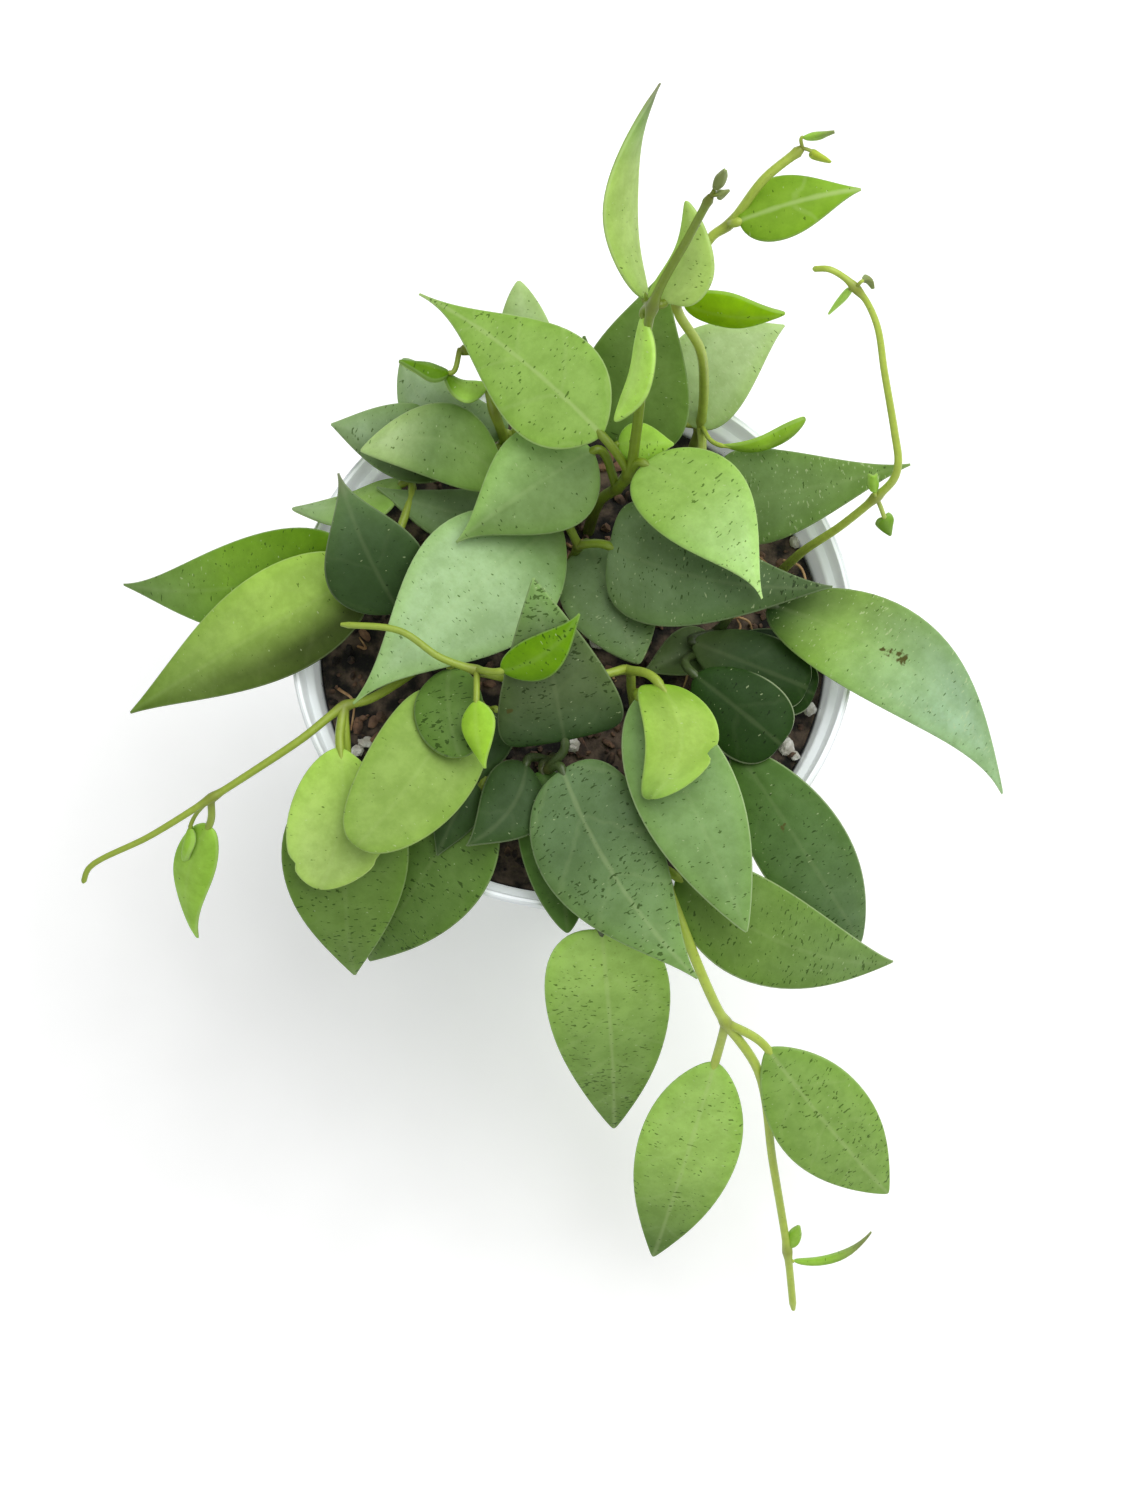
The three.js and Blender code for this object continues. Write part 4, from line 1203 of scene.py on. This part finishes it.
# %% Back vine
grow("back_vine", [
    [(22.5, 37, 68), (22.5, 37, 80), (24, 39.5, 90), (24, 42.5, 104), (22.5, 44, 117),
     (18.5, 46.5, 126), (18, 47.5, 129), (23.5, 54.5, 140), (26.5, 56, 142), (32, 60.5, 150),
     (38, 64, 154)],
], [
    leaf(6, (19, 46.5, 131), (36.5, 43.5, 133), 8.5, bow=1.5, roll=55, shoulder=0.6, point=0.3,
         tone="lime", flecks=0.1),
    leaf(2, (20.5, 40.5, 91), (39.5, 56, 99), 17.5, arch=2.5, bow=-3, taper=1.05, point=0.2,
         tone="pale_mint", flecks=0.3, silver=0.7),
    leaf(8, (28, 55.5, 144), (48.5, 60, 147), 11, arch=1, bow=-0.5, shoulder=0.55, point=0.6,
         tone="apple", flecks=0.15, rib=0.7),
    leaf(10, (38, 65, 156), (43, 65, 158), 1.4, arch=0, tone=[(0.3, "young"), (1, "dried")]),
    leaf(10, (39.5, 63.5, 154), (43, 62.5, 152), 1.6, arch=0, tone="lemon"),
    leaf(2, (27.5, 23.5, 94), (61.5, 27, 103), 18, bow=1, shoulder=0.25, taper=1.25, point=0.3,
         tone=[(0.3, "moss"), (1, "green")], flecks=0.4, silver=0.6),
    leaf(2, (27.5, 32.5, 98), (42.5, 35.5, 104), 4, bow=2.5, roll=43, shoulder=1.2, taper=0.6,
         tone=[(0.5, "spring"), (0.8, "apple")], under="spring"),
], stem_tone="young_stem", thickness=0.9)

# %% [markdown]
# At the right a bare stem climbs and curls over. It carries only tiny leaves, one of them dried.

# %% Right vine
grow("right_vine", [
    [(38, 12, 68), (38, 12, 80), (42, 13, 94), (48, 13.5, 108), (53, 15, 119), (55.5, 16.5, 124),
     (56, 18.5, 127), (55, 22.5, 131), (52.5, 30.5, 139), (51, 36.5, 143.5), (49, 40, 146),
     (47, 41.5, 148), (45, 43, 149), (42.5, 44, 150), (40, 45, 148)],
], [
    leaf(11, (46, 41.5, 147.5), (43, 39.5, 142), 1.4, arch=0, tone="glow"),
    leaf(11, (48, 42, 150), (50, 41.5, 148), 1.5, arch=0, bow=-0.8, tone="dried"),
    leaf(4, (52.5, 15, 121.5), (52, 17, 124.5), 2, arch=0, shoulder=0.2, taper=0.2, point=0,
         tone="young"),
    leaf(4, (55, 13, 114), (56.5, 11, 110), 3.5, arch=0, tone="grassy"),
], stem_tone="young_stem", thickness=0.85, taper=0.55)

# %% [markdown]
# A short stem in front curls to the left over everything, with three tender leaves. Its largest
# leaf hangs over and shows its underside.

# %% Curl vine
grow("curl_vine", [
    [(11.5, -14, 68), (11.5, -14, 80), (10.5, -14, 97), (9.5, -12.5, 105), (5.5, -14, 107.5),
     (-4, -15, 107.5), (-12, -15, 108.5), (-17, -14, 110), (-23.5, -12, 111.5),
     (-30.5, -7.5, 112.5), (-41, -6, 111.5)],
], [
    leaf(3, (15, -17, 112), (13.5, -37, 109), 13, bow=-4.5, roll=180, shoulder=0.3, taper=0.5,
         point=0, wave=0.4, fold=(-1, 0.1, 2.5), notches=((1, 0.57, 0.9, 1.6),),
         under=[(0, "apple"), (0.25, "bright_under"), (0.65, "bright_under"), (1, "light")]),
    leaf(7, (-12.5, -15.5, 115), (1, -7, 121), 8, arch=1, bow=2, shoulder=0.65, point=0.6,
         tone="deep_lime", flecks=0.8),
    leaf(7, (-17, -20, 112), (-15.5, -31.5, 109), 6.5, bow=0.5, roll=20, shoulder=0.8, taper=1.3,
         point=0.5, tone="spring", flecks=0.1),
], thickness=0.85, taper=0.6)

# %% [markdown]
# The long stem at the left reaches over the rim and ends bare, and carries a leaf that lies
# with its underside up.

# %% Left vine
grow("left_vine", [
    [(-23, 0.5, 68), (-23, 0.5, 80), (-27, -7.5, 92), (-36.5, -16.5, 100), (-41, -18.5, 102),
     (-48.5, -24.5, 102), (-59.5, -31.5, 100), (-64.5, -34.5, 99), (-75.5, -41, 97),
     (-86.5, -46, 94), (-88, -48.5, 92)],
], [
    leaf(4, (-41.5, -26, 102), (-45, -50.5, 96), 18.5, bow=-2, roll=180, shoulder=0.7, taper=0.6,
         point=0, notches=((-1, 0.84, 0.8, 0.8), (1, 0.72, 1.2, 0.7)),
         under=[(0.2, "bright_under"), (0.8, "pale")]),
    leaf(4, (-40.5, -31, 98), (-40.5, -62, 72), 23, arch=6.5, bow=0.5, cup=-0.5, shoulder=0.5,
         taper=1.1, point=0.2, tone="green", flecks=0.9),
    leaf(7, (-65.5, -38.5, 94), (-70, -55, 72), 9, bow=2.5, roll=28, taper=1.1, tone="young",
         flecks=0.1),
    leaf(7, (-69, -38.5, 93), (-71, -43.5, 86), 3, roll=60, tone="young"),
], thickness=0.9, taper=0.5)

# %% [markdown]
# One stem trails down over the front of the pot, with a pair of leaves half way and two tiny
# ones near its end.

# %% Trailing vine
grow("trailing_vine", [
    [(15, -34, 68), (15, -34, 80), (16, -45.5, 91), (21, -59.5, 89), (26, -69, 80),
     (28, -71.5, 76), (34.5, -79, 66), (38.5, -94, 46), (42.5, -110, 28), (44.5, -121, 16)],
], [
    leaf(2, (18.5, -47.5, 92.5), (59.5, -59.5, 72), 18.5, arch=5, bow=4, taper=1.1, point=0.1,
         tone=[(0.4, "green"), (0.85, "moss")], flecks=0.85, edging=0.6),
    leaf(5, (26.5, -77.5, 66), (16, -111, 26), 19.5, arch=2.5, shoulder=0.7, point=0.1,
         tone=[(0.4, "bright"), (0.92, "leafy")], flecks=0.75, rib=0.35),
    leaf(5, (36, -75.5, 70), (61.5, -99.5, 38), 19, arch=2.5, bow=0.5, shoulder=0.8, point=0,
         tone="soft", flecks=0.85, rib=0.35),
    leaf(8, (43, -109.5, 29), (44.5, -105.5, 33), 3, arch=0, tone="young"),
    leaf(8, (44, -112, 26), (59, -106.5, 30), 2, arch=0, bow=2.4,
         tone=[(0.4, "young"), (0.8, "dried")]),
], stem_tone="young_stem", thickness=0.9)

# %% [markdown]
# The low leafy shoots fill the pot. Those at the front and right are the oldest and darkest,
# and their leaves are the most flecked. Their darkest tones are partly painted shade, where they
# lie low under other leaves.

# %% Front shoots
grow("front_right_spray", [
    [(18.5, -19, 68), (18.5, -19, 80), (17.5, -19.5, 92), (16, -20, 100)],
], [
    leaf(3, (11.5, -18, 107), (30.5, -58.5, 98), 18.5, arch=2.5, bow=-0.5, shoulder=0.65,
         taper=0.9, point=0.2, tone="sage", flecks=0.4, edging=0.6),
    leaf(2, (29, -23.5, 93.5), (53.5, -56, 72), 17, arch=7, shoulder=0.8, taper=0.9, point=0,
         tone=[(0.2, "deep"), (0.9, "grey")], flecks=0.75, edging=0.6, scars=((0.1, 0.35, 1.9),)),
], stem_tone="old_stem")
grow("front_spray", [
    [(-3.5, -22.5, 68), (-3.5, -22.5, 80), (-4, -25.5, 90), (-4.5, -28.5, 96)],
    [(-4, -25.5, 90), (0, -41.5, 93), (4.5, -50.5, 92.5), (4.5, -54.5, 90.5)],
], [
    leaf(3, (-2, -29.5, 100), (22, -66, 93), 23, arch=2.5, bow=2.5, shoulder=0.4, taper=0.7,
         point=0.9, tone=[(0, "grey"), (0.3, "steel"), (0.9, "sage")], flecks=0.95, rib=0.3),
    leaf(2, (-5.5, -28.5, 95), (-1, -57, 88.5), 13.5, bow=-0.5, taper=0.8, point=0, tone="deep",
         flecks=0.4),
    leaf(3, (5, -56.5, 89.5), (8, -87.5, 44), 23, stem=1, arch=3, bow=-0.5, shoulder=0.4, point=0,
         tone=[(0.12, "bright"), (0.45, "soft"), (0.95, "green")], flecks=0.95, rib=0.35),
    # This leaf's dark base is painted shade from the leaves above it.
    leaf(3, (-1.5, -25, 103), (-7, -0.5, 121), 22.5, shoulder=0.15, point=0,
         tone=[(0, "dark"), (0.12, "slate"), (0.3, "pewter"), (0.6, "pewter"), (0.9, "sage")],
         flecks=0.95, scars=((-0.8, 0.25, 1.4),)),
    leaf(2, (-8.5, -27.5, 96), (-19, -43, 98), 13, bow=-2.5, shoulder=0.65, taper=1.2, point=0.1,
         tone="shade", flecks=0.3),
], stem_tone="shade_stem")
grow("front_left_spray", [
    [(-15.5, -15.5, 68), (-15.5, -15.5, 80), (-16, -17, 92), (-17, -17.5, 99)],
], [
    leaf(3, (-20.5, -17, 101), (-38, -44.5, 104.5), 19.5, arch=2.5, bow=-1.5, roll=180, cup=1,
         shoulder=0.3, taper=0.45, point=0, under="pale_under"),
    leaf(2, (-22, -11.5, 102.5), (-20, -29, 107), 12.5, bow=1, shoulder=0.5, taper=0.5, point=0,
         tone="leafy", flecks=0.95),
    leaf(2, (-18.5, -30.5, 96), (-24.5, -43.5, 92), 9, tone="shade"),
    leaf(2, (-14, -17.5, 95), (-17, -31, 94), 9, tone="shade"),
    leaf(2, (-17, -32, 94), (-38, -59, 70), 22, arch=6, roll=10, cup=0, shoulder=0.5, point=0.2,
         tone="leafy", flecks=0.85),
])

# %% [markdown]
# Under the long right leaf lie the darkest leaves of the plant, some with a pale edge at the
# tip. Their dark tones are partly painted shade, and so is the dark base of the long leaf. The
# pale mint leaf in the middle is the widest.

# %% Right and middle shoots
grow("right_spray", [
    [(26.5, -2, 68), (26.5, -2, 80), (27, -1, 90), (28.5, 0, 98)],
], [
    # Its dark base is painted shade.
    leaf(3, (35.5, 1.5, 99), (81.5, -27, 70), 19, arch=6, bow=-6.5, shoulder=0.6, point=0.7,
         tone=[(0.02, "dark"), (0.2, "light"), (0.6, "cool_mint")], dusk=(-1, 0.35), flecks=0.45,
         silver=0.6, scars=((-0.1, 0.4, 3), (-0.05, 0.35, 2.3))),
    # These leaves under the long one are dark partly from painted shade.
    leaf(2, (22, -3.5, 92), (43, -12, 91), 13, shoulder=0.6, taper=0.35, point=0,
         tone=[(0, "pewter"), (0.4, "shade"), (0.9, "dark")], edging=0.8, edge_from=0.6),
    leaf(2, (23.5, -4, 89), (44.5, -12.5, 88.5), 13, shoulder=0.6, taper=0.35, point=0,
         tone="dark", edging=0.8, edge_from=0.6),
    leaf(2, (29, -2, 86.5), (44, -5.5, 86), 9, shoulder=0.6, taper=0.4, point=0, tone="night"),
    leaf(1, (22, -11.5, 98), (37.5, -24, 96), 15.5, shoulder=0.6, taper=0.35, point=0, tone="dark",
         edging=0.8, edge_from=0.45),
    leaf(2, (26, -1.5, 87), (13, -8.5, 89), 9, tone="pewter"),
], stem_tone="shade_stem")
grow("middle_spray", [
    [(-0.5, 13, 68), (-0.5, 13, 80), (0, 13.5, 89), (1, 13.5, 97)],
], [
    leaf(3, (-2.5, 16.5, 101), (-39, -19, 106), 26.5, arch=2, bow=1, shoulder=0.8, taper=1.35,
         point=0.7, tone=[(0.05, "moss"), (0.15, "sage"), (0.32, "mint"), (0.8, "mint"), (0.95, "sage")],
         dusk=(-1, 0.1), flecks=0.5),
    leaf(3, (6.5, 12, 101), (46.5, 3, 105), 21.5, arch=3.5, bow=3, shoulder=0.3, taper=1.3,
         point=0, tone=[(0.1, "dull"), (0.5, "steel"), (0.8, "slate")], flecks=0.75, silver=0.35),
    leaf(2, (3, 15, 93), (12, -8.5, 95), 18, shoulder=0.5, taper=0.85, point=0, tone="dull",
         flecks=0.6, silver=0.3),
], stem_tone="old_stem")

# %% [markdown]
# At the left two long leaves reach out over the rim, the front one with its underside up. The
# back shoot ends in two small bright leaves.

# %% Left and back shoots
grow("left_spray", [
    [(-25, 8.5, 68), (-25, 8.5, 80), (-30, 7, 90), (-34.5, 8, 95)],
], [
    leaf(3, (-41, 12.5, 94), (-85.5, 12, 78), 19, arch=4, bow=-3.5, shoulder=0.6, taper=1.1,
         point=0.6, tone=[(0.1, "fresh"), (0.5, "grassy"), (0.9, "moss")], flecks=0.6),
    leaf(3, (-38, 8.5, 96.5), (-83, -13.5, 79), 20, arch=4, roll=180, cup=1, shoulder=0.5, taper=1,
         point=0.5, wave=0.5, dusk=(1, 0.85),
         under=[(0.3, "bright_under"), (0.7, "pale_under"), (1, "olive_under")]),
    leaf(2, (-31.5, 0.5, 98), (-42, 22, 112), 19, bow=-1, shoulder=0.6, taper=1.1, point=0.9,
         tone=[(0, "shade"), (0.45, "shade"), (0.95, "grey")], blush=0.6, flecks=0.2),
    leaf(3, (-32, 27, 92.5), (-52.5, 23, 90), 11, bow=-2, roll=45, point=0.3,
         tone=[(0.4, "soft"), (0.9, "frost")]),
    leaf(3, (-18, 21, 91.5), (-36.5, 26, 93.5), 12, bow=-1, roll=23, shoulder=0.2, taper=1.3,
         point=0, tone="dull"),
    leaf(3, (-41, 14.5, 94), (-44.5, 18, 93), 5, arch=0, tone="grey"),
])
grow("back_spray", [
    [(-12.5, 34.5, 68), (-12.5, 34.5, 80), (-12.5, 34, 95), (-14.5, 37, 104),
     (-17.5, 46.5, 108), (-20.5, 46.5, 110)],
], [
    leaf(2, (-13, 25, 101), (-39, 30.5, 101), 14.5, bow=4.5, shoulder=0.6, taper=0.9, point=0,
         tone=[(0.1, "soft"), (0.5, "moss"), (0.8, "pale_mint")], flecks=0.35),
    leaf(2, (-17.5, 31.5, 97), (-45, 37.5, 96), 15, bow=-0.5, shoulder=0.8, taper=1.1, point=0.1,
         tone=[(0.3, "leafy"), (0.8, "frost")], dusk=(-1, 0.5), flecks=0.5),
    leaf(2, (-12.5, 35, 98), (-32, 49.5, 98), 13, bow=-4.5, taper=0.7, point=0, tone="frost",
         flecks=0.6),
    leaf(5, (-22.5, 42, 110), (-31.5, 43.5, 112), 5, arch=0.5, roll=50, tone="fresh"),
    leaf(3, (-15.5, 40.5, 107), (-24, 43.5, 109), 6, bow=-2, roll=40,
         tone=[(0.35, "glow"), (0.7, "fresh")]),
    leaf(2, (-6.5, 42, 102), (-10, 60, 110), 10.5, bow=-0.5, shoulder=0.5, taper=0.8, point=0.1,
         tone="pale_mint", flecks=0.5),
    leaf(2, (2.5, 44, 101), (2, 50, 108), 3.5, arch=0.5, tone="deep"),
])
print("leaves", leaf_count)

# %% [markdown]
# The two pattern blades have done their work.

# %% Finish
for pattern in (large_blade, small_blade):
    bpy.data.objects.remove(pattern)
start_clean()
